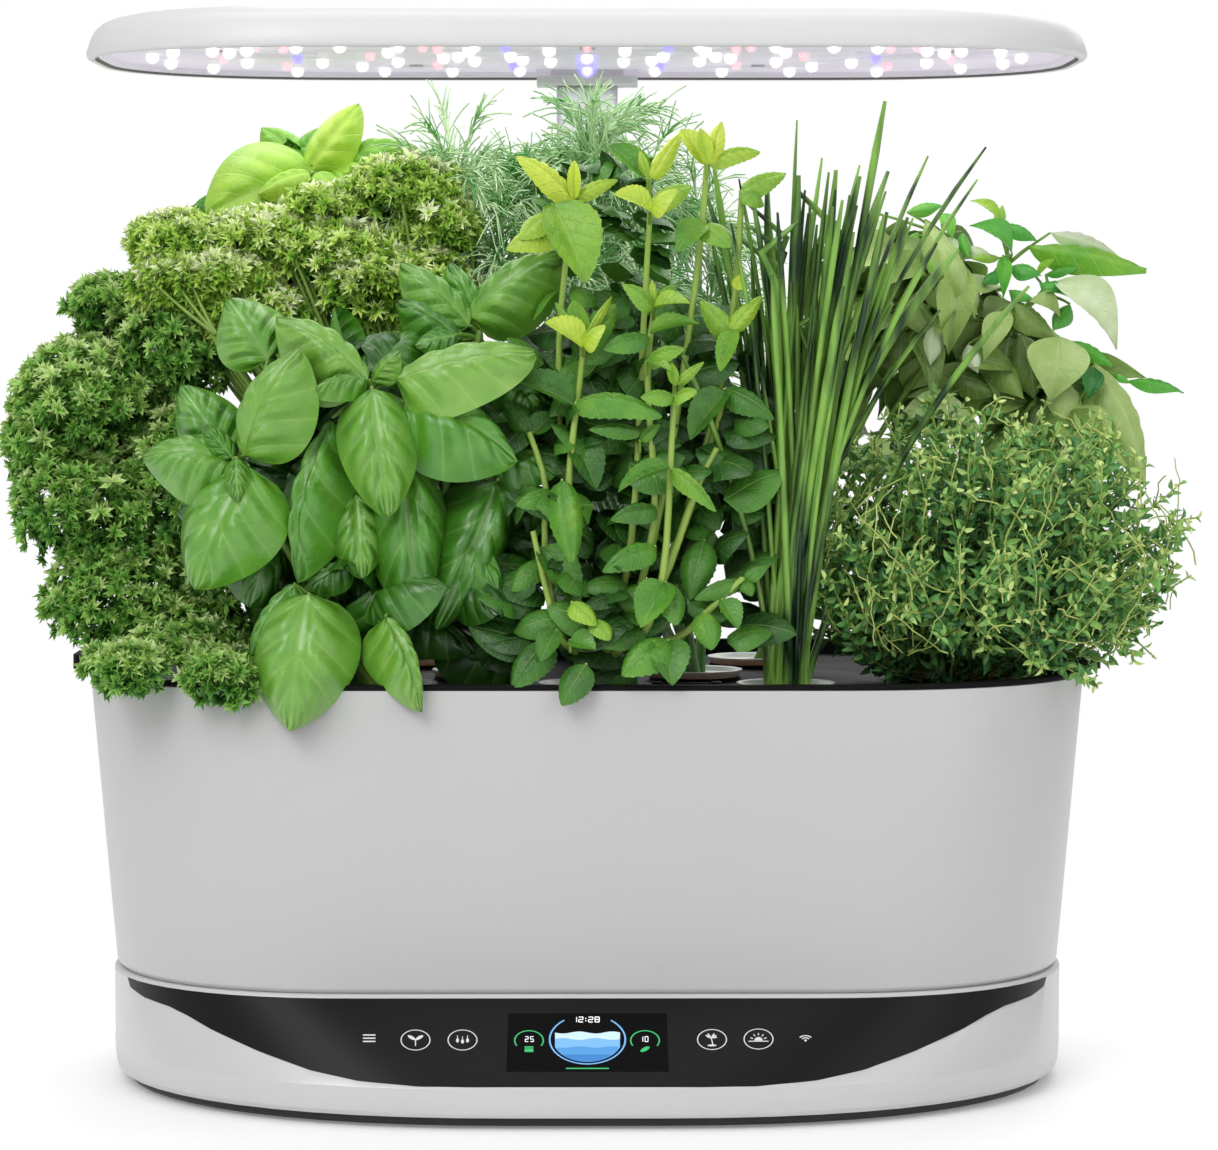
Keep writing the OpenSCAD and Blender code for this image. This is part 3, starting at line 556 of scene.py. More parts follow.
# the middles of the keys, from left to right
SPROUT, CARE, AWAY, LIGHT, SIGNAL = 415.5, 462.5, 712, 758.5, 805.5
keys = bmesh.new()
# menu: three bars
for y in (1035, 1038.2, 1041.4):
    bar(keys, 363, y, 375.5, y, 1.3)
for x, y in ((SPROUT, 1040), (CARE, 1040), (AWAY, 1039.5), (LIGHT, 1039)):
    ring(keys, x, y, 15, 10.4, 1.1)
# sprout key
bar(keys, SPROUT, 1046, SPROUT, 1039, 1.1)
blob(keys, 411.6, 1037.6, 4.3, 1.6, -0.5)
blob(keys, 419.4, 1037.6, 4.3, 1.6, 0.5)
# care key: three drops
for dx in (-5, 0, 5):
    x, up = CARE + dx, abs(dx) * 0.2
    blob(keys, x, 1041.4 - up, 1.5, 2.2)
    bar(keys, x, 1040.4 - up, x, 1036.4 - up, 0.8)
# away key: a tree on a mound
bar(keys, 713, 1045, 711, 1037, 1.1)
for lean, way in ((0.5, 1), (-0.5, -1), (1.0, 1), (-1.0, -1), (0.0, 1)):
    blob(keys, 711 + way * 3 * math.cos(lean), 1036.4 - 1.6 * math.sin(abs(lean)) + 1.0, 3.2, 0.9, lean)
blob(keys, AWAY, 1045.4, 4.6, 1.0)
# light key: half a sun over the horizon
blob(keys, LIGHT, 1040.6, 4.2, 3.6, half=True)
bar(keys, LIGHT - 10, 1041.2, LIGHT + 10, 1041.2, 0.9)
for a in (20, 55, 90, 125, 160):
    c, d = math.cos(math.radians(a)), math.sin(math.radians(a))
    bar(keys, LIGHT + 5.8 * c, 1040.2 - 4.9 * d, LIGHT + 8.6 * c, 1040.2 - 7.2 * d, 1.0)
# signal key
for r in (8.2, 5.2):
    ring(keys, SIGNAL, 1041, r, r * 0.72, 1.4, 40, 100)
blob(keys, SIGNAL, 1040.4, 1.3, 1.0)
printed("key_marks", keys, key_ink, 0.12)

# the middle of the display's round gauge
DIAL_X, DIAL_Y = 587.5, 1039.5
screen = bmesh.new()
bmesh.ops.create_grid(screen, x_segments=20, y_segments=8, size=0.5)
for v in screen.verts:
    top = v.co.y + 0.5
    v.co = (DIAL_X + v.co.x * (162.5 - 4 * top), 1071.7 - 58.4 * top, 0)
printed("display_window", screen, display_glass, 0.06)

marks = bmesh.new()
ring(marks, DIAL_X, DIAL_Y, 38.7, 25, 1.7, 128, 284)
printed("display_ring", marks, screen_blue, 0.16)
marks = bmesh.new()
for x in (529, 645):
    ring(marks, x, 1040.5, 15, 10.3, 1.4, -32, 244)
# a calendar sheet and a leaf
bar(marks, 524.6, 1047, 533.4, 1047, 1.3)
bar(marks, 524.6, 1050.2, 533.4, 1050.2, 3.6)
blob(marks, 645, 1049.2, 5, 2.0, 0.45)
bar(marks, 566, 1068.4, 609, 1068.4, 1.2)
printed("display_gauges", marks, screen_green, 0.16)
marks = bmesh.new()
number(marks, "12:28", 572.4, 1017, 4.2, 5, 0.85)
number(marks, "25", 525.2, 1036.6, 3, 5, 0.7)
number(marks, "10", 639.8, 1036.6, 3, 5, 0.7)
printed("display_digits", marks, screen_white, 0.16)


def water(name, top, wave, material, lift):
    """The part of the round gauge below a wavy line."""
    bm = bmesh.new()
    bmesh.ops.create_grid(bm, x_segments=40, y_segments=14, size=0.5)
    for v in bm.verts:
        x = v.co.x * 2 * (32.5 * (1 - max(0, (top - DIAL_Y) / 24) ** 2) ** 0.5)
        line = top + wave * math.sin(x * 0.19)
        bottom = DIAL_Y + 22.5 * max(0, 1 - (x / 34.5) ** 2) ** 0.5
        v.co = (DIAL_X + x, line + (bottom - line) * (0.5 - v.co.y), 0)
    printed(name, bm, material, lift)


water("display_wave", 1032.5, 1.0, screen_foam, 0.2)
water("display_water", 1039.0, -0.9, screen_blue, 0.24)
water("display_middle", 1047.0, 0.7, screen_water, 0.28)
water("display_deep", 1054.5, 0.0, screen_deep, 0.32)

# ---------------------------------------------------------------- leaves and stems
def grid(along, across):
    """A flat sheet, one by one, with its own UV map and, for each face, a value for its tone with painted
    light and shade.
    """
    bm = bmesh.new()
    bm.loops.layers.uv.new("UVMap")
    bm.faces.layers.float.new("tone_and_painted_light")
    bmesh.ops.create_grid(bm, x_segments=across, y_segments=along, size=0.5, calc_uvs=True)
    return bm


def finish_template(name, bm):
    """A mesh that pieces are put together from."""
    bmesh.ops.remove_doubles(bm, verts=bm.verts, dist=0.0005)
    for f in bm.faces:
        f.smooth = True
    me = bpy.data.meshes.new(name)
    bm.to_mesh(me)
    bm.free()
    return me


def ovate(t):
    """The half width of an egg-shaped leaf along its length."""
    return max(0.0, math.sin(math.pi * t ** 0.72)) ** 0.6 * (1 - 0.25 * t ** 6)


def lance(t):
    """The half width of a pointed leaf along its length."""
    return max(0.0, math.sin(math.pi * t ** 0.8)) ** 1.05


def leaf(name, along, across, profile, arch, fold, quilt, wave, veins, teeth, seed):
    """A leaf one long along +Y and one wide, its upper face towards +Z."""
    bm = grid(along, across)
    shift = seed * 1.7
    for v in bm.verts:
        u, t = v.co.x * 2, v.co.y + 0.5
        side = abs(u)
        half = 0.5 * profile(max(0.0, min(1.0, t)))
        if teeth:
            # a saw edge
            half *= 1 + 0.09 * side ** 4 * (abs((t * teeth) % 1 - 0.35) * 2 - 0.6)
        # side veins sweep forward; the blade swells between them, sinks at the midrib and waves at its edge
        cell = abs(math.sin(math.pi * (veins * (t - 0.34 * side ** 0.8) + 0.1)))
        z = arch * 4 * t * (1 - t) - fold * side ** 2.2 * half * 2
        z += quilt * cell ** 0.7 * math.sin(math.pi * min(1, side * 1.1)) * half * 2
        z -= quilt * 1.1 * (1 - min(1, side * 3)) ** 2 * half * 2
        z += wave * side ** 2 * math.sin(5.5 * t + shift + (1.9 if u > 0 else 0))
        v.co = (u * half, t + wave * 0.25 * math.sin(5 * t + shift) * side, z)
    return finish_template(name, bm)


def leaves(name, along, across, profile, veins, forms, teeth=0):
    """A few shapes of one leaf; a form is its arch, fold, quilt between the veins, and wave."""
    return [leaf(f"{name}_shape_{i}", along, across, profile, *form, veins, teeth, i)
            for i, form in enumerate(forms)]


def frill(name, waves, lift, seed):
    """A curled parsley lobe: a small fan whose edge runs in tight waves and teeth."""
    strips, half_fan = 13, 1.7
    bm = grid(1, strips)
    for v in bm.verts:
        a, r = v.co.x * 2 * half_fan, v.co.y + 0.5
        edge = r ** 1.5
        tooth = edge * (0.3 if round((v.co.x + 0.5) * strips) % 2 else -0.38)
        reach = 0.08 + 0.92 * r * (0.85 + 0.25 * math.sin(1.6 * a + seed)) + tooth
        z = lift * edge * math.sin(waves * a + seed) + 0.3 * r * r
        v.co = (reach * math.sin(a), reach * math.cos(a), z)
    return finish_template(name, bm)


def aim(base, tip, face, width):
    """Sets a leaf from base to tip with its upper face towards face; width is in metres."""
    base, tip = Vector(base), Vector(tip)
    y = tip - base
    length = y.length
    y.normalize()
    z = Vector(face) - Vector(face).dot(y) * y
    if z.length < 1e-4:
        z = y.orthogonal()
    z.normalize()
    x = y.cross(z)
    return Matrix((
        (x.x * width, y.x * length, z.x * length, base.x),
        (x.y * width, y.y * length, z.y * length, base.y),
        (x.z * width, y.z * length, z.z * length, base.z),
        (0, 0, 0, 1)))


def plant_piece(name, bm, material, node, smooth=False):
    """A piece that stands for a plant's solid and goes with the bowl."""
    o = plain_mesh(name, bm, material, "reservoir", smooth)
    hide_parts(node)


def gather(name, laid, material, node):
    """Joins copies of templates, each with its place and its tone with painted light and shade, into one
    piece.
    """
    bm = bmesh.new()
    for me, place, tone_and_painted_light in laid:
        copy = me.copy()
        copy.transform(place)
        copy.attributes["tone_and_painted_light"].data.foreach_set("value", [tone_and_painted_light] * len(copy.polygons))
        bm.from_mesh(copy)
        bpy.data.meshes.remove(copy)
    plant_piece(name, bm, material, node)


# the fill lid in metres: its hinge, how far it reaches from there, and the room that it moves in
LID_HINGE_Y, LID_HINGE_Z, LID_SWEEP = -0.0893, 0.1681, 0.0295
LID_LEFT, LID_RIGHT, LID_UNDER, LID_REAR = 0.021, 0.059, 0.164, -0.082


def meets_lid(item):
    """Whether the fill lid would meet a leaf on its way up."""
    me, place, _ = item
    for v in me.vertices:
        p = place @ v.co
        if LID_LEFT < p.x < LID_RIGHT and p.z > LID_UNDER and p.y < LID_REAR:
            if math.hypot(p.y - LID_HINGE_Y, p.z - LID_HINGE_Z) < LID_SWEEP:
                return True
    return False


def bend(a, b, sag, n):
    """The ends of n steps from a to b on a bow; sag is the offset of its middle."""
    a, b, m = Vector(a), Vector(b), (Vector(a) + Vector(b)) / 2 + Vector(sag)
    return [a.lerp(m, i / n).lerp(m.lerp(b, i / n), i / n) for i in range(n + 1)]


def stalks(name, runs, material, node, rounds=1, end=1.0):
    """Round stems as one piece; each run is its points and the radii in mm at foot and tip, and its
    last point is narrowed to end."""
    curve = bpy.data.curves.new(name, "CURVE")
    curve.dimensions = "3D"
    curve.bevel_depth = MM
    curve.bevel_resolution = rounds
    curve.use_fill_caps = True
    for points, foot, tip in runs:
        s = curve.splines.new("POLY")
        s.points.add(len(points) - 1)
        for i, p in enumerate(points):
            s.points[i].co = (*p, 1)
            s.points[i].radius = foot + (tip - foot) * i / (len(points) - 1)
        s.points[-1].radius *= end
    shape = bpy.data.objects.new(name, curve)
    bpy.context.scene.collection.objects.link(shape)
    me = bpy.data.meshes.new_from_object(shape.evaluated_get(bpy.context.evaluated_depsgraph_get()))
    bpy.data.objects.remove(shape)
    bm = bmesh.new()
    bm.from_mesh(me)
    bpy.data.meshes.remove(me)
    plant_piece(name, bm, material, node, smooth=True)


def leaf_material(name, shades, vein, rough, veins, relief, gloss, cell_mm, edge=0.0, line=0.2, puff_mm=0.0):
    """A living leaf: each face's tone with its painted light and shade picks the colour, UV draws midrib and
    side veins and, with edge, a paler tip, a painted highlight; the blade puffs up between its veins, and
    fine cells give the bump."""
    m, tree, shader = new_material(name, shades[1], rough, Coat_Weight=gloss, Coat_Roughness=0.27)
    tone_and_painted_light = add(tree, "ShaderNodeAttribute", attribute_name="tone_and_painted_light")
    place = add(tree, "ShaderNodeTexCoord")
    blotch = add(tree, "ShaderNodeTexNoise",
                 {"Vector": place.outputs["Object"], "Scale": 95.0, "Detail": 3.0})
    # the place on the ramp: random blotches plus each face's tone with its painted light and shade
    tone = add(tree, "ShaderNodeMath", {0: blotch.outputs["Fac"], 1: 0.36, 2: tone_and_painted_light.outputs["Fac"]},
               operation="MULTIPLY_ADD")
    split = add(tree, "ShaderNodeSeparateXYZ", {0: place.outputs["UV"]})
    # with edge, the colour is painted paler towards the leaf's outer end: a painted highlight on the crests
    out = add(tree, "ShaderNodeMath", {0: split.outputs["Y"], 1: edge, 2: -0.18 - edge * 0.6},
              operation="MULTIPLY_ADD")
    tone = add(tree, "ShaderNodeMath", {0: tone, 1: out})
    ramp = add(tree, "ShaderNodeValToRGB", {"Fac": tone})
    ramp.color_ramp.elements[0].color = linear(shades[0])
    ramp.color_ramp.elements[1].color = linear(shades[-1])
    for i, code in enumerate(shades[1:-1]):
        ramp.color_ramp.elements.new((i + 1) / (len(shades) - 1)).color = linear(code)
    side = add(tree, "ShaderNodeMath", {0: split.outputs["X"], 1: 0.5}, operation="SUBTRACT")
    side = add(tree, "ShaderNodeMath", {0: side}, operation="ABSOLUTE")
    bow = add(tree, "ShaderNodeMath", {0: side, 1: 0.8}, operation="POWER")
    mid = add(tree, "ShaderNodeMapRange", {"Value": side, "From Min": 0.012, "From Max": 0.035,
                                           "To Min": 1.0, "To Max": 0.0})
    run = add(tree, "ShaderNodeMath", {0: bow, 1: -0.6, 2: split.outputs["Y"]},
              operation="MULTIPLY_ADD")
    run = add(tree, "ShaderNodeMath", {0: run, 1: float(veins), 2: 0.6}, operation="MULTIPLY_ADD")
    run = add(tree, "ShaderNodeMath", {0: run}, operation="FRACT")
    run = add(tree, "ShaderNodeMath", {0: run, 1: 0.5}, operation="SUBTRACT")
    run = add(tree, "ShaderNodeMath", {0: run}, operation="ABSOLUTE")
    rib = add(tree, "ShaderNodeMapRange", {"Value": run, "From Min": 0.01, "From Max": 0.07,
                                           "To Min": 0.8, "To Max": 0.0})
    lines = add(tree, "ShaderNodeMath", {0: mid.outputs["Result"], 1: rib.outputs["Result"]},
                operation="MAXIMUM")
    part = add(tree, "ShaderNodeMath", {0: lines, 1: line}, operation="MULTIPLY")
    mix = add(tree, "ShaderNodeMix", {0: part, 6: ramp.outputs["Color"], 7: linear(vein)},
              data_type="RGBA")
    tree.links.new(mix.outputs[2], shader.inputs["Base Color"])
    cells = add(tree, "ShaderNodeTexVoronoi", {"Vector": place.outputs["Object"], "Scale": 1000 / cell_mm})
    height = add(tree, "ShaderNodeMath", {0: lines, 1: -1.2, 2: cells.outputs["Distance"]},
                 operation="MULTIPLY_ADD")
    bump = add(tree, "ShaderNodeBump", {"Height": height, "Strength": relief, "Distance": 0.0004})
    if puff_mm:
        rise = add(tree, "ShaderNodeMapRange", {"Value": run, "From Max": 0.42},
                   interpolation_type="SMOOTHSTEP")
        inner = add(tree, "ShaderNodeMapRange", {"Value": side, "From Min": 0.02, "From Max": 0.2},
                    interpolation_type="SMOOTHSTEP")
        outer = add(tree, "ShaderNodeMapRange", {"Value": side, "From Min": 0.5, "From Max": 0.3},
                    interpolation_type="SMOOTHSTEP")
        puff = add(tree, "ShaderNodeMath", {0: rise, 1: inner}, operation="MULTIPLY")
        puff = add(tree, "ShaderNodeMath", {0: puff, 1: outer}, operation="MULTIPLY")
        soft = add(tree, "ShaderNodeBump", {"Height": puff, "Distance": puff_mm * MM})
        tree.links.new(soft.outputs["Normal"], bump.inputs["Normal"])
    tree.links.new(bump.outputs["Normal"], shader.inputs["Normal"])
    return m


def stem_material(name, low, high, rough=0.45, patch=0.0):
    """A green stem: paler ribs run along it, and the shade drifts by patch from one stem to the next."""
    m, tree, shader = new_material(name, low, rough)
    place = add(tree, "ShaderNodeTexCoord")
    stretch = add(tree, "ShaderNodeMapping", {"Vector": place.outputs["Object"], "Scale": (1.0, 1.0, 0.12)})
    ribs = add(tree, "ShaderNodeTexNoise", {"Vector": stretch, "Scale": 260.0, "Detail": 2.0})
    stems = add(tree, "ShaderNodeTexNoise", {"Vector": stretch, "Scale": 110.0, "Detail": 1.0})
    drift = add(tree, "ShaderNodeMapRange", {"Value": stems.outputs["Fac"], "From Min": 0.3, "From Max": 0.7,
                                             "To Min": -patch, "To Max": patch})
    shade = add(tree, "ShaderNodeMath", {0: ribs.outputs["Fac"], 1: drift.outputs["Result"]}, use_clamp=True)
    mix = add(tree, "ShaderNodeMix", {0: shade, 6: linear(low), 7: linear(high)},
              data_type="RGBA")
    tree.links.new(mix.outputs[2], shader.inputs["Base Color"])
    bump = add(tree, "ShaderNodeBump", {"Height": ribs.outputs["Fac"], "Strength": 0.25, "Distance": 0.0003})
    tree.links.new(bump.outputs["Normal"], shader.inputs["Normal"])
    return m


def stray(much):
    """A random step of up to much each way."""
    return Vector([dice.uniform(-much, much) for _ in range(3)])


def burst(x, y, z):
    """A random direction; each of x, y and z is the middle and the spread of that part."""
    return Vector([dice.gauss(*part) for part in (x, y, z)]).normalized()


def placed(shapes, rows, broad=1.0):
    """Leaves set one by one: base x, y, tip x, y in frame pixels, width in pixels, depths of base and tip,
    shade, and how far the face turns to the right and up."""
    laid = []
    for i, (bx, by, tx, ty, wide, back, front, shade, turn, up) in enumerate(rows):
        a, b = spot(bx, by, back), spot(tx, ty, front)
        size = wide * broad * pixel((back + front) / 2) * MM
        # shade sets the leaf's place on its colour ramp: its own tone together with painted light and shade,
        # lighter where it catches light, darker where it lies in shade
        laid.append((shapes[i % len(shapes)], aim(a, b, (turn, -1, 0.55 + up), size), shade))
    return laid


def filler(shapes, areas, count, length_mm, ratio, shade, droop=0.3):
    """Leaves strewn in oval regions: centre x, y and half sizes in pixels, nearest and farthest depth."""
    laid = []
    weights = [a[2] * a[3] for a in areas]
    for _ in range(count):
        cx, cy, rx, ry, near_y, far_y = dice.choices(areas, weights)[0]
        turn, out = dice.uniform(0, 2 * math.pi), dice.random() ** 0.5
        px, py = cx + rx * out * math.cos(turn), cy + ry * out * math.sin(turn)
        depth = dice.uniform(near_y, far_y)
        base = spot(px, py, depth)
        size = dice.uniform(*length_mm) * MM
        way = Vector((math.cos(turn) + dice.uniform(-0.7, 0.7), dice.uniform(-0.8, 0.5),
                      dice.uniform(-0.5, 0.7) - droop)).normalized()
        tip = base + way * size
        # leaves farther back are painted darker: painted shade over a random tone
        depth_part = (depth - near_y) / max(1, far_y - near_y)
        s = dice.uniform(*shade) * (1 - 0.45 * depth_part)
        face = Vector((dice.uniform(-0.5, 0.5), -0.7, dice.uniform(0.3, 1.2)))
        laid.append((dice.choice(shapes), aim(base, tip, face, size * ratio * dice.uniform(0.85, 1.15)), s))
    return laid


# the bowl's rim in mm: its straight parts, corner size and height, over which the foliage stays
RIM_X, RIM_Y, RIM_CORNER, RIM_TOP = 97, 16, 111, 178


def over_bowl(x, y):
    """Whether a place in mm lies above the bowl and its rim."""
    out = [max(0, (abs(v) - flat) / RIM_CORNER) ** CORNER for v, flat in ((x, RIM_X), (y, RIM_Y))]
    return sum(out) < 1


def crown(shapes, heaps, count, length_mm, ratio, shade, droop=0.35, front=-0.15):
    """Leaves round the sides and back of rounded heaps: centre x, y, z and half sizes in mm."""
    laid = []
    weights = [h[3] * h[4] * h[5] for h in heaps]
    while len(laid) < count:
        x, y, z, rx, ry, rz = dice.choices(heaps, weights)[0]
        way = burst((0, 1), (0.2, 1), (0.15, 0.9))
        if way.y < front:
            continue
        out = dice.uniform(0.7, 1.0)
        tip = Vector((x + way.x * rx * out, y + way.y * ry * out, z + way.z * rz * out)) * MM
        run = way + Vector((dice.uniform(-0.5, 0.5), dice.uniform(-0.5, 0.5),
                            dice.uniform(-0.3, 0.3) - droop))
        size = dice.uniform(*length_mm) * MM
        base = tip - run.normalized() * size * 0.8
        face = way * 0.6 + Vector((dice.uniform(-0.3, 0.3), dice.uniform(-0.3, 0.3), 0.7))
        # leaves deeper in the heap are painted darker: painted shade over a random tone
        s = dice.uniform(*shade) * (0.5 + 0.5 * (out - 0.7) / 0.3)
        laid.append((dice.choice(shapes), aim(base, tip, face, size * ratio * dice.uniform(0.85, 1.15)), s))
    return laid


def pod(x, y, z=162):
    """The foot of a plant, in its collar."""
    return Vector((x, y, z)) * MM


def main_stems(foot, apart, ends, bow, parts, thick, thin):
    """Stems from a plant's foot, a little apart there, to each of the ends."""
    return [(bend(foot + stray(apart), end, bow, parts), thick, thin) for end in ends]


def leaf_stalks(rows, hubs, start, rise, parts, thick, thin):
    """A stalk to each leaf of rows, from start beside the nearest hub."""
    runs = []
    for row in rows:
        a = spot(row[0], row[1], row[5])
        hub = min(hubs, key=lambda p: (p - a).length)
        runs.append((bend(hub + Vector(start), a, (0, 0, rise), parts), thick, thin))
    return runs


# ---------------------------------------------------------------- basil, front left
basil_forms = ((0.14, 0.36, 0.05, 0.03), (0.18, 0.5, 0.06, 0.04), (0.11, 0.34, 0.05, 0.05),
               (0.2, 0.44, 0.05, 0.03))
basil_leaves = leaves("basil", 24, 14, ovate, 4.4, basil_forms)
basil_far = leaves("basil_far", 9, 6, ovate, 3.2, basil_forms)
# sweet basil leaf: waxy and puffed up between its veins, so it shines in soft patches
basil_blade = leaf_material("sweet_basil_leaf", ["1A3A10", "336C1A", "559A28", "7EB440", "A8CC66"], "B8D684",
                            0.34, 4.4, 0.25, 0.7, 1.3, line=0.18, puff_mm=1.5)
basil_stem = stem_material("green_basil_stem", "5E8A2C", "8DB650")
rows = [
    # bx, by, tx, ty, width, depth at base and tip, shade (the leaf's tone with painted light and shade),
    # turn, up
    (268, 360, 228, 298, 66, -108, -100, 0.62, -0.3, 0.2),
    (369, 380, 276, 318, 60, -118, -112, 0.72, 0.0, 0.5),
    (396, 378, 534, 352, 72, -118, -122, 0.74, 0.1, 0.5),
    (243, 456, 300, 348, 72, -122, -130, 0.66, -0.2, 0.2),
    (230, 455, 180, 385, 58, -112, -104, 0.55, -0.4, 0.2),
    (234, 458, 142, 456, 66, -120, -116, 0.6, -0.3, 0.1),
    (233, 458, 203, 424, 22, -124, -124, 0.5, -0.2, 0.0),
    (236, 458, 238, 504, 24, -127, -131, 0.6, 0.0, 0.0),
    (248, 466, 194, 590, 98, -122, -128, 0.58, -0.1, 0.1),
    (332, 418, 298, 584, 48, -110, -118, 0.52, -0.5, 0.0),
    (372, 388, 388, 516, 70, -124, -132, 0.64, 0.0, 0.2),
    (404, 402, 518, 462, 78, -112, -118, 0.48, 0.2, 0.2),
    (402, 452, 416, 624, 74, -108, -120, 0.42, 0.1, 0.0),
    (498, 480, 436, 630, 78, -100, -106, 0.36, 0.4, 0.0),
    (356, 495, 362, 578, 52, -108, -116, 0.6, 0.0, -0.1),
    (308, 594, 290, 732, 96, -127, -133, 0.66, 0.0, 0.1),
    (294, 584, 250, 656, 34, -118, -122, 0.5, -0.6, 0.0),
    (386, 616, 421, 712, 42, -122, -131, 0.68, 0.4, 0.0),
    (348, 562, 300, 594, 30, -110, -112, 0.3, 0.0, 0.2),
    (366, 378, 308, 394, 20, -122, -126, 0.6, 0.0, 0.4),
    (372, 382, 400, 350, 24, -116, -120, 0.66, 0.0, 0.3),
    (462, 340, 398, 300, 46, -92, -88, 0.4, -0.2, 0.3),
    (455, 335, 415, 345, 34, -98, -100, 0.5, 0.0, 0.3),
    (470, 318, 566, 252, 62, -88, -84, 0.66, 0.2, 0.4),
    (470, 325, 400, 262, 48, -90, -86, 0.62, -0.2, 0.4),
    (480, 330, 450, 262, 40, -84, -80, 0.5, 0.0, 0.3),
    (505, 380, 560, 400, 48, -90, -88, 0.34, 0.3, 0.2),
    (505, 372, 540, 420, 44, -96, -94, 0.4, 0.2, 0.1),
]
laid = placed(basil_leaves, rows, broad=1.18)
laid += filler(basil_far, [(335, 500, 80, 90, -100, -66), (420, 500, 90, 110, -98, -64),
                           (350, 620, 70, 50, -108, -70), (440, 620, 60, 50, -100, -66)],
               60, (28, 44), 0.66, (0.16, 0.5), 0.5)
laid += crown(basil_far, [(-100, -92, 245, 48, 30, 62), (-96, -94, 290, 46, 30, 34)],
              50, (28, 40), 0.62, (0.2, 0.6), 0.35, 0.1)
gather("basil_front_leaves", laid, basil_blade, "basil_front")
hubs = [spot(236, 458, -118), spot(370, 384, -116), spot(480, 330, -86), spot(320, 600, -112),
        spot(400, 590, -104), spot(500, 470, -92)]
runs = main_stems(pod(-80, -84), 0.003, hubs, (0, 0.004, -0.012), 8, 2.6, 1.5)
runs += leaf_stalks(rows, hubs, (0, 0.004, -0.004), 0.002, 4, 1.1, 0.8)
stalks("basil_front_stems", runs, basil_stem, "basil_front")

# ---------------------------------------------------------------- mint, front middle
mint_leaves = leaves("mint", 26, 8, ovate, 6.0, ((0.1, -0.2, 0.05, 0.02), (0.14, 0.2, 0.05, 0.03),
                                                (0.18, 0.25, 0.06, 0.02)), teeth=9)
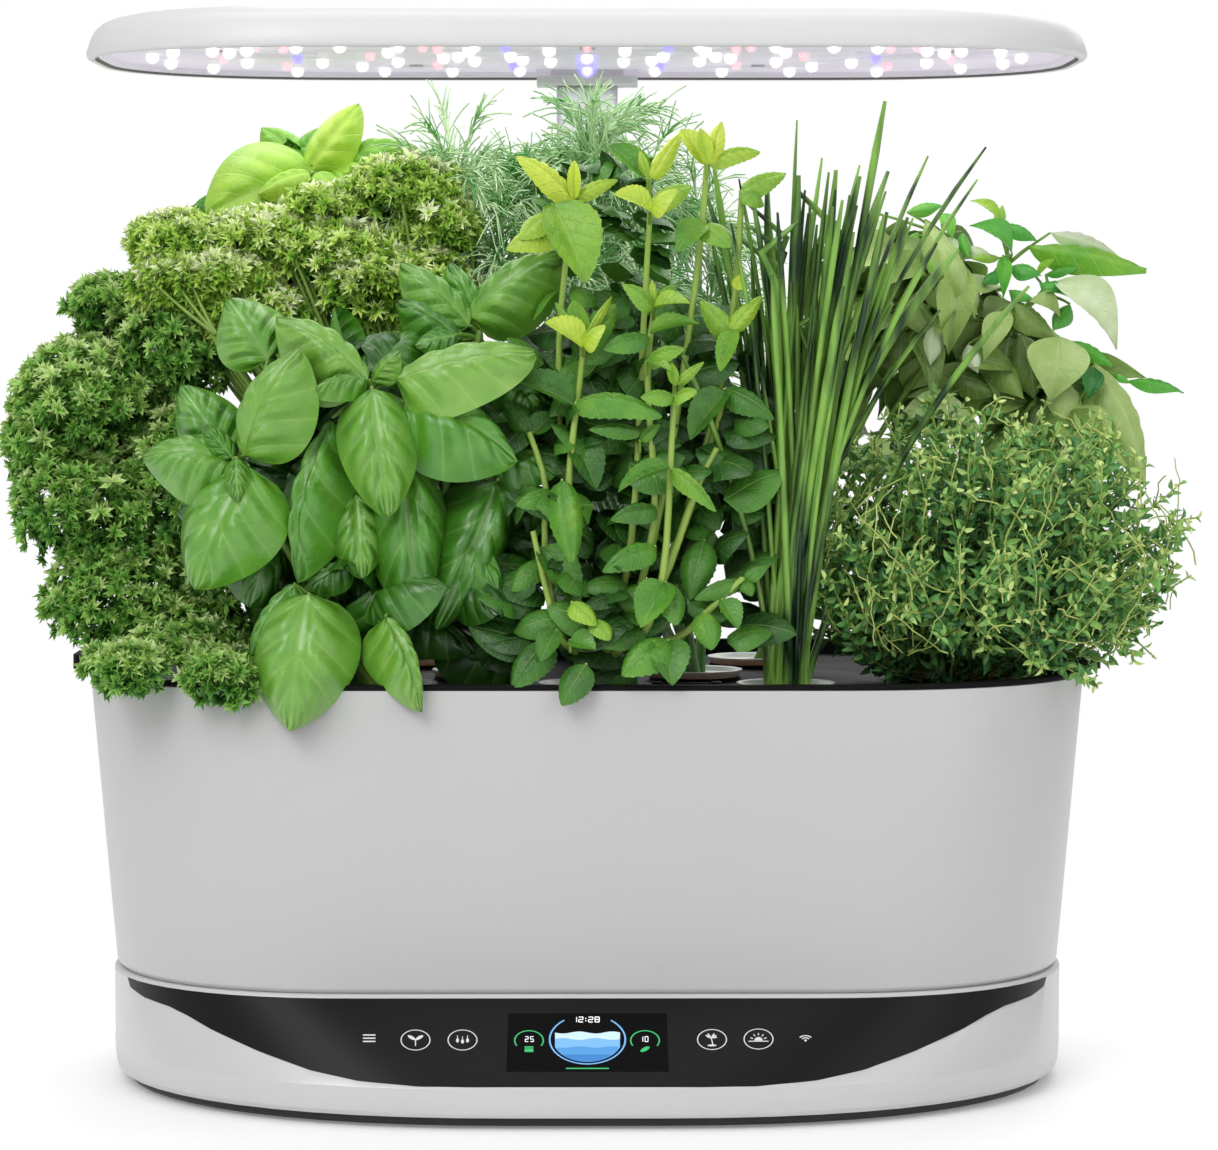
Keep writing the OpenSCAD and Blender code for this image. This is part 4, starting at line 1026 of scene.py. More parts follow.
# mint leaf: matt and crinkled, with a saw edge and sunk veins
mint_blade = leaf_material("mint_leaf", ["1A3E14", "336B20", "5A9A2E", "96C43C", "CFE44E"], "C4E080",
                           0.46, 6.0, 0.55, 0.16, 1.2)
mint_stem = stem_material("pale_mint_stem", "7FA83A", "B5CF6B")
rows = [
    # bx, by, tx, ty, width, depth at base and tip, shade (the leaf's tone with painted light and shade),
    # turn, up
    (583, 346, 545, 322, 34, -118, -122, 0.95, -0.2, 0.6),
    (583, 346, 606, 326, 30, -118, -124, 0.92, 0.2, 0.6),
    (583, 345, 616, 304, 30, -112, -106, 0.55, 0.3, 0.2),
    (583, 345, 573, 300, 24, -112, -106, 0.6, -0.2, 0.2),
    (581, 344, 555, 302, 12, -114, -112, 0.7, -0.3, 0.3),
    (583, 344, 612, 296, 10, -116, -114, 0.85, 0.1, 0.0),
    (650, 211, 614, 194, 34, -118, -122, 0.95, -0.2, 0.7),
    (650, 211, 678, 190, 32, -118, -124, 0.92, 0.2, 0.7),
    (652, 205, 691, 186, 26, -110, -104, 0.75, 0.3, 0.3),
    (648, 178, 608, 146, 26, -106, -100, 0.5, -0.2, 0.3),
    (650, 178, 682, 132, 20, -108, -104, 0.98, 0.2, 0.3),
    (648, 178, 640, 150, 12, -108, -106, 0.8, 0, 0.2),
    (707, 165, 680, 130, 26, -112, -108, 1.0, -0.2, 0.5),
    (707, 165, 722, 122, 22, -112, -110, 1.0, 0.2, 0.4),
    (709, 162, 760, 152, 18, -110, -106, 0.8, 0.3, 0.5),
    (707, 164, 700, 128, 16, -114, -112, 0.9, 0, 0.2),
    (742, 190, 786, 174, 26, -104, -98, 0.7, 0.2, 0.4),
    (742, 192, 764, 206, 22, -106, -104, 0.6, 0.2, 0.3),
    (706, 224, 678, 252, 34, -110, -114, 0.55, -0.2, 0.5),
    (706, 224, 730, 248, 34, -110, -116, 0.62, 0.2, 0.5),
    (575, 200, 516, 156, 24, -104, -98, 1.0, -0.2, 0.5),
    (574, 200, 574, 160, 14, -104, -100, 1.0, 0, 0.3),
    (576, 196, 618, 180, 18, -104, -100, 0.85, 0.3, 0.5),
    (556, 232, 506, 250, 36, -104, -110, 0.85, -0.3, 0.5),
    (552, 204, 586, 284, 60, -112, -120, 0.66, 0.2, 0.3),
    (548, 214, 520, 240, 30, -108, -112, 0.8, -0.2, 0.4),
    (654, 308, 622, 284, 22, -118, -122, 0.62, -0.2, 0.6),
    (654, 308, 691, 304, 22, -118, -124, 0.78, 0.2, 0.6),
    (654, 306, 674, 284, 16, -114, -110, 0.6, 0.2, 0.2),
    (653, 306, 652, 280, 10, -116, -116, 0.85, 0, 0.2),
    (650, 334, 700, 324, 16, -118, -122, 0.6, 0.2, 0.6),
    (648, 336, 602, 350, 28, -116, -122, 0.42, -0.2, 0.5),
    (646, 362, 684, 348, 22, -116, -122, 0.62, 0.2, 0.4),
    (646, 362, 672, 372, 16, -118, -124, 0.6, 0.2, 0.4),
    (674, 396, 640, 398, 24, -122, -126, 0.6, -0.2, 0.6),
    (674, 398, 697, 392, 26, -122, -128, 0.66, 0.2, 0.6),
    (674, 384, 668, 360, 12, -120, -120, 0.7, 0, 0.2),
    (675, 384, 704, 362, 12, -120, -118, 0.72, 0.2, 0.2),
    (576, 402, 662, 416, 24, -118, -124, 0.5, 0.1, 0.7),
    (573, 404, 512, 378, 32, -114, -110, 0.34, -0.3, 0.4),
    (642, 432, 588, 430, 16, -112, -116, 0.42, -0.1, 0.6),
    (640, 440, 660, 424, 14, -112, -112, 0.5, 0.1, 0.4),
    (575, 440, 596, 490, 36, -106, -112, 0.28, 0.2, 0.1),
    (562, 480, 572, 564, 36, -118, -126, 0.5, 0.1, 0.1),
    (532, 432, 504, 400, 28, -104, -98, 0.26, -0.3, 0.2),
    (532, 434, 556, 414, 24, -104, -100, 0.3, 0.2, 0.3),
    (553, 492, 516, 506, 28, -110, -114, 0.46, -0.2, 0.3),
    (553, 492, 556, 520, 22, -112, -116, 0.5, 0.2, 0.1),
    (670, 468, 618, 492, 20, -120, -126, 0.5, -0.2, 0.4),
    (672, 468, 716, 512, 20, -120, -126, 0.6, 0.2, 0.3),
    (657, 508, 610, 520, 26, -112, -116, 0.34, -0.2, 0.4),
    (540, 548, 578, 610, 38, -110, -118, 0.4, 0.2, 0.2),
    (540, 560, 512, 592, 28, -108, -114, 0.4, -0.2, 0.1),
    (655, 546, 602, 572, 30, -114, -122, 0.46, -0.2, 0.4),
    (666, 584, 640, 628, 40, -118, -128, 0.5, -0.1, 0.1),
    (666, 582, 676, 626, 34, -118, -128, 0.44, 0.3, 0.1),
    (668, 640, 622, 676, 44, -122, -130, 0.48, -0.2, 0.2),
    (664, 640, 672, 686, 42, -120, -130, 0.4, 0.2, 0.1),
    (572, 602, 596, 626, 26, -126, -131, 0.72, 0.2, 0.3),
    (594, 620, 610, 640, 24, -126, -131, 0.66, 0.2, 0.3),
    (570, 640, 596, 650, 26, -124, -130, 0.5, 0.1, 0.3),
    (586, 664, 562, 706, 34, -128, -132, 0.32, -0.1, 0.0),
    (548, 640, 512, 690, 40, -116, -124, 0.3, -0.3, 0.1),
    (556, 630, 540, 662, 26, -120, -126, 0.36, 0, 0.1),
    (740, 580, 694, 600, 20, -112, -116, 0.4, -0.1, 0.3),
    (704, 612, 712, 650, 30, -120, -127, 0.5, 0.1, 0.1),
    (722, 600, 738, 630, 24, -116, -122, 0.44, 0.3, 0.1),
    (744, 578, 768, 566, 18, -112, -112, 0.4, 0.3, 0.3),
    (744, 580, 752, 596, 16, -112, -116, 0.42, 0.1, 0.1),
    (726, 392, 690, 440, 34, -104, -112, 0.4, -0.2, 0.2),
    (726, 388, 774, 420, 34, -104, -110, 0.34, 0.3, 0.3),
    (704, 540, 690, 600, 36, -104, -112, 0.34, 0, 0.1),
    (735, 330, 720, 372, 22, -108, -112, 0.62, -0.1, 0.1),
    (730, 330, 762, 296, 20, -108, -104, 0.8, 0.3, 0.2),
    (735, 340, 700, 300, 26, -106, -104, 0.7, -0.3, 0.4),
    (738, 290, 742, 274, 14, -104, -104, 0.98, 0, 0.3),
]
laid = placed(mint_leaves, rows)
mint_far = leaves("mint_far", 9, 4, ovate, 3.0, ((0.1, 0.2, 0.05, 0.02), (0.18, 0.2, 0.05, 0.02)))
laid += filler(mint_far, [(600, 480, 70, 90, -108, -66), (690, 480, 60, 90, -108, -66),
                          (570, 620, 70, 60, -118, -68), (660, 630, 70, 55, -118, -68),
                          (640, 350, 60, 60, -100, -66), (560, 400, 40, 60, -100, -66),
                          (718, 560, 26, 100, -96, -66), (728, 420, 30, 80, -90, -66)],
               330, (15, 28), 0.66, (0.08, 0.45), 0.2)
laid += crown(mint_far, [(0, -96, 265, 42, 34, 70), (6, -92, 345, 34, 26, 52)],
              150, (15, 26), 0.66, (0.2, 0.6))
laid = [item for item in laid if not meets_lid(item)]
gather("mint_leaves", laid, mint_blade, "mint")
foot = pod(0, -84)
runs = []
for path, depth in (
    ([(583, 349), (578, 400), (566, 480), (572, 560), (585, 640)], -112),
    ([(650, 213), (646, 274), (640, 400), (634, 547), (610, 650)], -104),
    ([(707, 160), (703, 223), (690, 330), (655, 560), (610, 660)], -100),
    ([(654, 310), (644, 377), (656, 476), (654, 547), (620, 650)], -110),
    ([(674, 400), (670, 470), (666, 582), (640, 650)], -116),
    ([(574, 200), (560, 300), (556, 420), (580, 600)], -96),
    ([(529, 432), (551, 489), (540, 540), (563, 650)], -106),
    ([(533, 531), (548, 600), (563, 650)], -114),
    ([(743, 578), (712, 606), (676, 646)], -114),
    ([(717, 448), (700, 480), (689, 507), (660, 600)], -108),
    ([(742, 190), (735, 330), (700, 480), (640, 640)], -98),
    ([(726, 390), (705, 470), (650, 620)], -100),
):
    points = [spot(x, y, depth) for x, y in reversed(path)]
    way = [foot + stray(0.003), foot.lerp(points[0], 0.6) + Vector((0, 0, 0.012))] + points
    fine = []
    for a, b in zip(way, way[1:]):
        fine += [a.lerp(b, i / 3) for i in range(3)]
    fine.append(way[-1])
    # the corners are worn round
    for _ in range(3):
        fine = [fine[0]] + [(p + q * 2 + r) / 4 for p, q, r in zip(fine, fine[1:], fine[2:])] + [fine[-1]]
    runs.append((fine, 1.9, 1.2))
for r in rows:
    a = spot(r[0], r[1], r[5])
    runs.append((bend(a + Vector((0, 0.006, -0.005)), a, (0, 0, 0.001), 3), 0.7, 0.6))
stalks("mint_stems", runs, mint_stem, "mint")

# ---------------------------------------------------------------- chives, front right
# chive blade: hollow, waxy, with a bloom that greys the green
chive_blade = stem_material("waxy_chive_blade", "17391A", "86B84C", 0.28, 0.75)
foot = pod(80, -84, 163)
# each blade's tip in pixels and its radius in mm
tips = [(885, 101, 1.5), (928, 156, 1.2), (986, 147, 1.3), (887, 212, 1.4), (913, 218, 1.2), (869, 214, 1.1),
        (937, 243, 1.1), (940, 310, 1.3), (1029, 286, 1.7), (958, 249, 1.9), (713, 161, 1.8), (739, 179, 1.1),
        (767, 175, 1.3), (707, 219, 1.1), (731, 223, 1.1), (682, 355, 1.1), (715, 266, 1.2), (797, 120, 0.9),
        (836, 170, 1.5), (822, 158, 1.2), (805, 190, 1.3), (850, 195, 1.3), (778, 215, 1.2), (758, 240, 1.1)]
for _ in range(62):
    tips.append((dice.gauss(822, 52), dice.uniform(165, 330), dice.uniform(1.0, 1.8)))
runs = []
for i, (x, y, r) in enumerate(tips):
    tip = spot(x, y, dice.uniform(-122, -66))
    root = foot + Vector((dice.uniform(-8, 8), dice.uniform(-6, 6), dice.uniform(0, 2))) * MM
    lean = (tip.x - root.x) * dice.uniform(0.1, 0.4)
    points = bend(root, tip, (-lean, dice.uniform(-0.012, 0.012), abs(lean) * 0.5), 12)
    if i > 24 and i % 9 == 0:
        # the end hangs over
        points[-3:] = [p + Vector((dice.choice((-1, 1)) * 0.005 * k, 0, -0.004 * k))
                       for k, p in enumerate(points[-3:])]
    runs.append((points, r, r * (0.8 if i % 3 else 1.15)))
stalks("chive_blades", runs, chive_blade, "chives", 1, 0.45)

# ---------------------------------------------------------------- curled parsley, left
frills = [frill(f"frill_shape_{i}", waves, lift, i * 1.3)
          for i, (waves, lift) in enumerate(((4.5, 0.3), (5.5, 0.26), (4, 0.34)))]
# curled parsley: stiff small frills, glossy on top, so light catches their crests; the crests are also
# painted paler, a painted highlight
dark_parsley = leaf_material("dark_curled_parsley_leaf", ["24481A", "488430", "78B84A", "B0DC6C", "DAF0A4"],
                             "4A8A34", 0.4, 3.0, 0.3, 0.15, 1.0, 0.5)
bright_parsley = leaf_material("bright_curled_parsley_leaf",
                               ["2A501A", "5E9A2E", "A6D44A", "D6F07C", "F6FCD4"],
                               "A5CC58", 0.4, 3.0, 0.3, 0.15, 1.0, 0.6)
parsley_stem = stem_material("parsley_stem", "587F2E", "94B450")


# radians from one frill of a tuft to the next
FRILL_TURN = 2.1


def mounds(areas, count, radius_mm, shade):
    """Tufts of three frills on the outside of rounded heaps: centre x, y and half sizes in pixels, depth
    of the centre and half depth in mm."""
    laid, seats = [], []
    weights = [a[2] * a[3] for a in areas]
    while len(seats) < count:
        cx, cy, rx, ry, depth, deep = dice.choices(areas, weights)[0]
        mid, dot = spot(cx, cy, depth), pixel(depth) * MM
        way = burst((0, 1), (-0.5, 0.8), (0.35, 0.9))
        out = dice.uniform(0.6, 1.0)
        seat = mid + Vector((way.x * rx * dot, way.y * deep * MM, way.z * ry * dot)) * out
        if seat.z < RIM_TOP * MM and over_bowl(seat.x / MM, seat.y / MM):
            continue
        size = dice.uniform(*radius_mm) * MM
        seats.append(seat)
        # tufts that face up and lie farther out are painted lighter, those deep inside darker: painted light
        # and shade over a random tone
        s = dice.uniform(*shade) * (0.4 + 0.6 * max(0, way.z * 0.5 + 0.5)) * (0.3 + 0.7 * (out - 0.6) / 0.4)
        up = (way + Vector((0, 0, 0.5))).normalized()
        spin = dice.uniform(0, 2 * math.pi)
        for k in range(3):
            side = Matrix.Rotation(spin + k * FRILL_TURN, 3, up) @ up.orthogonal().normalized()
            tip = seat + (side + up * dice.uniform(0.25, 0.8)).normalized() * size
            shape = dice.choice(frills)
            laid.append((shape, aim(seat, tip, up, size), min(1, s + dice.uniform(-0.08, 0.12))))
    return laid, seats


def parsley(kind, parts, count, radius_mm, shade, material, node):
    """The leaves of one parsley, a piece for each of its parts, and the places of the tufts."""
    seats = []
    for part, areas in parts.items():
        laid, found = mounds(areas, count, radius_mm, shade)
        seats += found
        gather(f"{kind}_parsley_{part}_leaves", laid, material, node)
    return seats


seats = parsley("dark", {
    "upper": [(92, 400, 80, 64, -14, 42), (180, 340, 74, 62, -10, 46), (50, 440, 46, 46, -10, 30),
              (112, 305, 44, 28, 0, 36), (130, 440, 80, 70, 24, 22), (150, 330, 60, 40, 22, 24)],
    "lower": [(72, 505, 60, 64, -18, 38), (130, 600, 86, 62, -30, 32), (185, 640, 70, 50, -40, 24),
              (240, 580, 60, 70, -36, 20), (130, 520, 76, 76, -14, 42), (190, 480, 60, 80, -30, 26),
              (170, 668, 70, 26, -86, 14), (218, 672, 60, 24, -100, 12), (118, 668, 36, 26, -60, 12),
              (130, 672, 34, 26, -112, 10), (222, 680, 40, 22, -124, 8), (186, 645, 66, 24, -74, 20)],
}, 2450, (2.8, 5.2), (0.5, 1.25), dark_parsley, "parsley_dark")
inner = [p for p in seats[::120] if p.y > -0.02]
runs = main_stems(pod(-150, -18), 0.004, inner, (0, 0, -0.008), 7, 1.3, 0.7)
stalks("dark_parsley_stems", runs, parsley_stem, "parsley_dark")

seats = parsley("bright", {
    "outer": [(178, 245, 48, 30, -24, 26), (205, 285, 76, 34, -38, 20), (262, 240, 52, 28, -20, 30),
              (250, 315, 70, 36, -30, 26)],
    "inner": [(335, 258, 72, 36, -28, 26), (405, 195, 58, 38, -16, 30), (436, 228, 42, 42, -22, 26),
              (330, 212, 50, 26, -12, 30), (380, 290, 60, 36, -40, 18), (420, 300, 60, 60, -30, 26)],
}, 2300, (2.7, 5.2), (0.34, 1.15), bright_parsley, "parsley_bright")
runs = main_stems(pod(-45, -18), 0.004, seats[::56], (0.006, 0, -0.02), 8, 1.4, 0.8)
runs += [(bend(spot(216, 334, -62), spot(x, y, -56), (0, 0, -0.002), 5), 0.85, 0.55)
         for x, y in ((156, 284), (172, 276), (190, 280))]
stalks("bright_parsley_stems", runs, parsley_stem, "parsley_bright")

# ---------------------------------------------------------------- dill, middle
# dill thread: thin as a hair and matt; drawn 0.5 mm thick so that it shows
dill_thread = stem_material("dill_thread", "4FA03C", "DCF2C4", 0.5, 0.5)


def plumes(name, hubs):
    """Feathery bursts of long bowed threads, each with finer threads, from the ends of a few stems: x, y
    in pixels, depth, reach in mm, number of threads, and how far they point up."""
    runs = []
    for cx, cy, depth, reach, fronds, rise in hubs:
        hub = spot(cx, cy, depth)
        runs += main_stems(pod(45, -18), 0.003, [hub], (0, 0, -0.01), 8, 1.4, 0.9)
        for _ in range(fronds):
            way = burst((0, 1), (-0.2, 0.9), (rise, 0.5))
            length = reach * dice.uniform(0.6, 1.05) * MM
            fall = Vector((0, 0, -0.012 if way.z < 0.6 else -0.002))
            spine = bend(hub, hub + way * length + fall, (0, 0, 0.009), 7)
            runs.append((spine, 0.5, 0.3))
            for j in range(1, 8):
                along = (spine[j] - spine[j - 1]).normalized()
                for _ in range(4):
                    off = (along * 1.1 + Vector([dice.gauss(0, 0.55) for _ in range(3)])).normalized()
                    tip = spine[j] + off * dice.uniform(8, 19) * MM + Vector((0, 0, -0.002))
                    runs.append((bend(spine[j], tip, (0, 0, 0.0025), 3), 0.34, 0.26))
    stalks(name, runs, dill_thread, "dill", 0)


plumes("dill_upper_fronds", (
    (455, 190, -10, 36, 34, 0.45), (520, 205, 0, 30, 22, 0.3), (592, 165, 0, 36, 36, 0.45),
    (640, 200, 20, 32, 22, 0.4), (700, 225, 20, 30, 18, 0.3), (540, 215, 46, 32, 20, 0.4),
    (640, 225, 48, 32, 20, 0.4)))
plumes("dill_lower_fronds", (
    (500, 262, -20, 34, 24, 0.1), (570, 275, -24, 34, 24, 0.1), (640, 290, -26, 34, 24, 0.1),
    (560, 350, -34, 32, 18, -0.1), (670, 360, -34, 32, 18, -0.1), (620, 440, -34, 32, 18, -0.1),
    (710, 300, 0, 32, 18, 0.1)))

# ---------------------------------------------------------------- thyme, right
thyme_leaf = leaves("thyme", 3, 2, ovate, 5, ((0.1, 0.35, 0, 0), (0.1, -0.2, 0, 0)))
# thyme leaf: small, leathery and greyish, matt with a faint sheen
thyme_blade = leaf_material("thyme_leaf", ["204A2C", "3A7242", "5F9E50", "94C664", "D0E68A"], "8EB868",
                            0.45, 2.0, 0.1, 0.12, 1.5)
thyme_stem = stem_material("woody_thyme_stem", "7C9A3C", "D6E286", 0.6, 0.3)
foot = pod(150, -18, 163)
# the middle of the bush in mm, and how a sprig's leaves are set: in pairs, each turned from the last
BUSH = (165, -58, 221)
PAIR_STEP, PAIR_TURN, LEAFY = 0.0042, 1.57, 0.075
laid, runs = [], []
for n in range(350):
    way = burst((0, 1), (-0.2, 1), (0.25, 0.9))
    out = dice.uniform(0.66, 1.0)
    x, y, z = [m + size * w * out for m, size, w in zip(BUSH, (90, 67, 69), way)]
    if over_bowl(x, y):
        z = max(z, dice.uniform(RIM_TOP, 190))
    tip = Vector((x, y, z)) * MM
    root = foot + stray(0.005)
    sag = Vector((way.x * 0.012, way.y * 0.012, 0.034 if z < 200 else 0.002)) + stray(0.03)
    points = bend(root, tip, sag, 12)
    points = [points[0]] + [p + stray(0.0012) for p in points[1:-1]] + [points[-1]]
    runs.append((points, 0.55, 0.36))
    total = sum((b - a).length for a, b in zip(points, points[1:]))
    start = max(0.25, 1 - LEAFY / total)
    pairs = int((1 - start) * total / PAIR_STEP)
    for k in range(pairs):
        t = start + (1 - start) * (k + 0.5) / pairs
        f = t * 12
        i = min(11, int(f))
        at = points[i].lerp(points[i + 1], f - i)
        along = (points[i + 1] - points[i]).normalized()
        side = Matrix.Rotation(k * PAIR_TURN + n, 3, along) @ along.orthogonal().normalized()
        for s in (-1, 1):
            size = dice.uniform(4.0, 7.0) * MM * (1.1 - 0.35 * (t > 0.93))
            way = (side * s + along * dice.uniform(0.2, 1.0)).normalized()
            # leaves are painted darker down the sprig towards the bush's inside, a painted shade over a
            # random tone, and the last pairs at the tip are paler still
            shade = dice.uniform(0.36, 0.98) * (0.45 + 0.55 * (t - start) / (1 - start))
            laid.append((dice.choice(thyme_leaf), aim(at, at + way * size, along, size * 0.4),
                         shade + 0.2 * (t > 0.93)))
# bare pieces of stem that wander just under the outside
for _ in range(110):
    way = burst((0, 1), (-0.6, 0.7), (-0.1, 0.8))
    out = dice.uniform(0.78, 0.92)
    x, y, z = [m + size * w * out for m, size, w in zip(BUSH, (88, 66, 67), way)]
    mid = Vector((x, y, max(186, z))) * MM
    run = burst((0, 0.7), (0, 0.4), (0.5, 0.8))
    run = (run - way * run.dot(way) * 0.8).normalized() * dice.uniform(0.006, 0.015)
    a, b = mid - run, mid + run
    a.z, b.z = max(a.z, 0.181), max(b.z, 0.181)
    points = [q + stray(0.0008) for q in bend(a, b, stray(0.005), 6)]
    runs.append((points, 0.36, 0.28))
gather("thyme_leaves", laid, thyme_blade, "thyme")
stalks("thyme_stems", runs, thyme_stem, "thyme", 0)

# ---------------------------------------------------------------- basil, rear left
# young basil under the lamp: thin and only softly glossy, its colour painted brighter for the lamp's light
# that falls on it
young_basil_painted_bright = leaf_material("young_basil_leaf", ["2F7A1C", "569E24", "82BC2E", "AED444", "D0E66A"], "DCEE90",
                            0.42, 4.6, 0.3, 0.15, 1.6)
# columns as for the front basil; each shade is the leaf's tone with painted light and shade
rows = [
    (314, 168, 204, 216, 96, 36, 22, 0.62, -0.2, -0.5), (301, 162, 262, 128, 44, 52, 60, 0.4, -0.3, 0.3),
    (308, 170, 359, 105, 46, 36, 40, 0.75, 0.2, 0.2), (334, 164, 414, 148, 44, 46, 52, 0.42, 0.3, 0.4),
    (309, 172, 258, 194, 34, 26, 18, 0.68, -0.1, 0.4), (316, 172, 340, 200, 40, 28, 20, 0.55, 0.2, 0.3),
    (290, 196, 232, 220, 34, 34, 26, 0.8, -0.1, -0.1), (300, 164, 318, 128, 30, 56, 60, 0.3, 0, 0.2),
    (330, 170, 372, 176, 40, 40, 34, 0.6, 0.2, 0.4), (296, 180, 214, 190, 50, 50, 44, 0.3, -0.3, 0.2),
]
laid = placed(basil_leaves, rows, broad=1.15)
laid += filler(basil_far, [(300, 230, 60, 40, 20, 70), (330, 200, 60, 30, 24, 70)],
               20, (24, 38), 0.6, (0.2, 0.6))
laid += crown(basil_far, [(-77, 50, 300, 22, 34, 46), (-110, 50, 366, 50, 36, 34)],
              60, (26, 40), 0.62, (0.2, 0.6))
gather("basil_rear_leaves", laid, young_basil_painted_bright, "basil_rear")
hub = spot(306, 168, 42)
runs = [(bend(pod(-72, 52), hub, (0.008, 0, 0.01), 10), 2.4, 1.4)]
runs += leaf_stalks(rows, [hub], (0, 0.002, -0.006), 0.001, 3, 1.0, 0.8)
stalks("basil_rear_stems", runs, basil_stem, "basil_rear")

# ---------------------------------------------------------------- pointed basil, rear right
pointed = leaves("pointed", 18, 6, lance, 6.0, ((0.16, 0.25, 0.04, 0.02), (0.2, -0.2, 0.04, 0.03),
                                                (0.1, 0.3, 0.04, 0.04)))
# older pointed basil leaf: thin and flat, olive, and painted pale where the light comes through it
olive_blade = leaf_material("old_pointed_basil_leaf", ["35481C", "5E7C34", "8EAE56", "B4CE7E", "DCEAC6"],
                            "DCE8BE", 0.5, 6.0, 0.4, 0.1, 1.6)
# young pointed basil leaf: slender, vivid and a little glossy
vivid_blade = leaf_material("young_pointed_basil_leaf", ["1B6A2A", "349A38", "62BE40", "A4D64C", "D2EA78"],
                            "D6EE9A", 0.4, 6.0, 0.4, 0.2, 1.6)
# old and young rows as for basil; each shade is the leaf's tone with painted light and shade
old = [
    (925, 220, 976, 322, 28, 32, 24, 0.7, 0.4, 0.1), (960, 262, 948, 356, 36, 34, 26, 0.62, 0.0, 0.0),
    (963, 270, 973, 318, 28, 38, 32, 0.66, 0.2, 0.1), (938, 322, 930, 366, 20, 28, 24, 0.95, 0.0, 0.0),
    (1012, 302, 985, 328, 28, 42, 38, 0.3, -0.2, 0.4), (1012, 300, 1054, 338, 32, 40, 34, 0.45, 0.3, 0.4),
    (968, 344, 978, 374, 17, 26, 22, 0.95, 0.1, 0.0), (1010, 312, 984, 362, 26, 32, 24, 0.7, -0.1, 0.1),
    (1010, 336, 1000, 388, 44, 38, 30, 0.22, -0.1, 0.1), (1022, 334, 1034, 400, 44, 36, 30, 0.26, 0.1, 0.1),
    (1058, 336, 1050, 402, 58, 32, 24, 0.72, 0.1, 0.1), (1068, 382, 1062, 424, 34, 30, 24, 0.74, 0.1, 0.0),
    (1094, 362, 1146, 490, 48, 34, 24, 0.64, 0.3, 0.0), (1076, 406, 1104, 458, 34, 28, 22, 0.7, 0.1, 0.0),
    (982, 398, 1014, 420, 36, 34, 28, 0.2, 0.0, 0.3), (952, 374, 1002, 396, 32, 34, 28, 0.22, 0.0, 0.3),
    (1054, 282, 1116, 350, 42, 38, 30, 0.92, 0.2, 0.2), (968, 246, 992, 257, 15, 46, 42, 0.9, 0.2, 0.5),
    (1050, 233, 1121, 259, 12, 46, 42, 0.98, 0.2, 0.5), (900, 238, 916, 274, 26, 40, 34, 0.4, 0.0, 0.1),
    (886, 256, 898, 286, 28, 44, 40, 0.2, 0.0, 0.1), (872, 212, 879, 248, 16, 40, 36, 0.85, 0.0, 0.1),
    (938, 238, 952, 268, 24, 44, 40, 0.98, 0.0, 0.1), (912, 296, 928, 336, 30, 40, 34, 0.66, 0.0, 0.1),
    (905, 330, 896, 372, 28, 42, 38, 0.3, 0.0, 0.1), (1030, 300, 1060, 318, 24, 36, 32, 0.6, 0.2, 0.5),
    (1088, 430, 1078, 476, 34, 34, 28, 0.3, 0.0, 0.0), (1052, 396, 1030, 430, 34, 38, 32, 0.25, -0.1, 0.2),
]
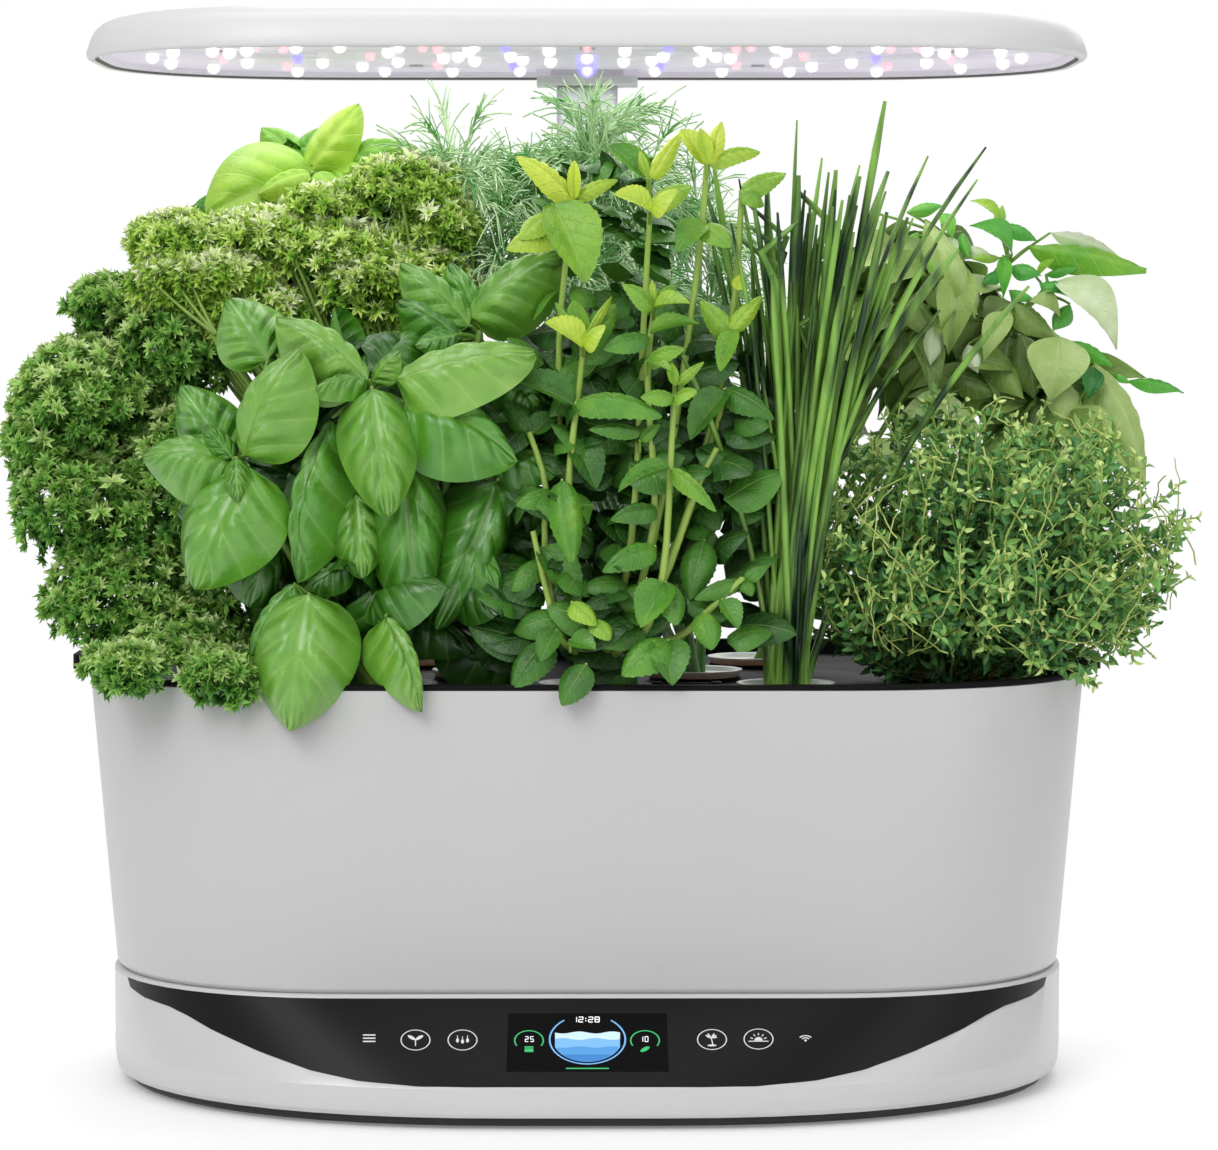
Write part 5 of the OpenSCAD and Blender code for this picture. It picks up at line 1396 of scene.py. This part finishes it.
young = [
    (907, 212, 944, 206, 12, 44, 46, 0.5, 0.2, 0.5), (1001, 223, 970, 201, 10, 48, 50, 0.85, -0.2, 0.4),
    (998, 224, 1003, 205, 10, 50, 52, 0.75, 0.1, 0.2), (1003, 224, 1038, 242, 14, 46, 44, 0.4, 0.2, 0.5),
    (1012, 254, 969, 226, 24, 44, 40, 0.42, -0.2, 0.6), (1030, 246, 1146, 270, 13, 44, 38, 0.62, 0.2, 0.5),
    (1000, 258, 971, 259, 8, 44, 42, 0.8, -0.2, 0.4), (1003, 256, 1003, 299, 13, 42, 36, 0.5, 0.0, 0.0),
    (1000, 271, 981, 284, 13, 44, 42, 0.3, -0.1, 0.3), (1010, 267, 1042, 276, 20, 44, 40, 0.38, 0.2, 0.5),
    (1036, 277, 1057, 259, 7, 42, 44, 0.7, 0.2, 0.3), (1046, 274, 1078, 267, 7, 42, 42, 0.45, 0.2, 0.4),
    (1040, 284, 1062, 290, 15, 40, 36, 0.35, 0.2, 0.4), (1038, 294, 1076, 302, 15, 40, 36, 0.35, 0.2, 0.5),
    (1070, 304, 1053, 331, 17, 38, 34, 0.4, 0.1, 0.2), (1068, 341, 1114, 368, 13, 38, 34, 0.5, 0.2, 0.6),
    (1094, 368, 1088, 400, 19, 26, 22, 0.12, 0.1, 0.1), (1116, 374, 1130, 383, 8, 36, 34, 0.4, 0.2, 0.5),
    (1127, 381, 1184, 393, 6, 40, 40, 0.45, 0.2, 0.5), (940, 214, 952, 240, 14, 42, 38, 0.55, 0.1, 0.2),
    (962, 232, 968, 258, 12, 44, 40, 0.5, 0.1, 0.1), (918, 232, 900, 262, 16, 42, 38, 0.6, -0.2, 0.1),
    (926, 250, 940, 290, 16, 36, 30, 0.55, 0.1, 0.1), (1010, 290, 1034, 300, 12, 40, 38, 0.45, 0.2, 0.5),
]
pointed_far = leaves("pointed_far", 9, 4, lance, 3.0, ((0.16, 0.25, 0.03, 0.03), (0.2, -0.2, 0.03, 0.03)))
laid = placed(pointed, old, broad=1.1)
laid += crown(pointed_far, [(146, 52, 296, 66, 32, 36), (138, 50, 322, 56, 30, 24),
                            (104, 50, 285, 34, 30, 26), (190, 50, 268, 46, 28, 26)],
              120, (30, 48), 0.5, (0.35, 0.95), 0.8, 0.0)
laid += filler(pointed_far, [(960, 330, 44, 50, 30, 66), (1030, 390, 60, 40, 30, 62),
                             (1000, 440, 90, 36, 26, 62), (905, 290, 36, 50, 34, 66),
                             (880, 400, 40, 40, 34, 60)],
               56, (26, 40), 0.5, (0.3, 0.9), 0.6)
gather("pointed_basil_old_leaves", laid, olive_blade, "basil_pointed")
laid = placed(pointed, young, broad=1.2)
gather("pointed_basil_young_leaves", laid, vivid_blade, "basil_pointed")
hubs = [spot(1010, 254, 44), spot(945, 226, 40), spot(1050, 286, 38), spot(1060, 340, 34),
        spot(1098, 364, 36), spot(960, 262, 38), spot(1018, 310, 40)]
runs = main_stems(pod(72, 52), 0.003, hubs, (-0.012, 0, 0.012), 10, 2.0, 1.0)
runs += leaf_stalks(old + young, hubs, (0, 0.003, -0.004), 0.001, 3, 0.8, 0.6)
stalks("pointed_basil_stems", runs, basil_stem, "basil_pointed")

bpy.context.scene.view_settings.view_transform = "Standard"
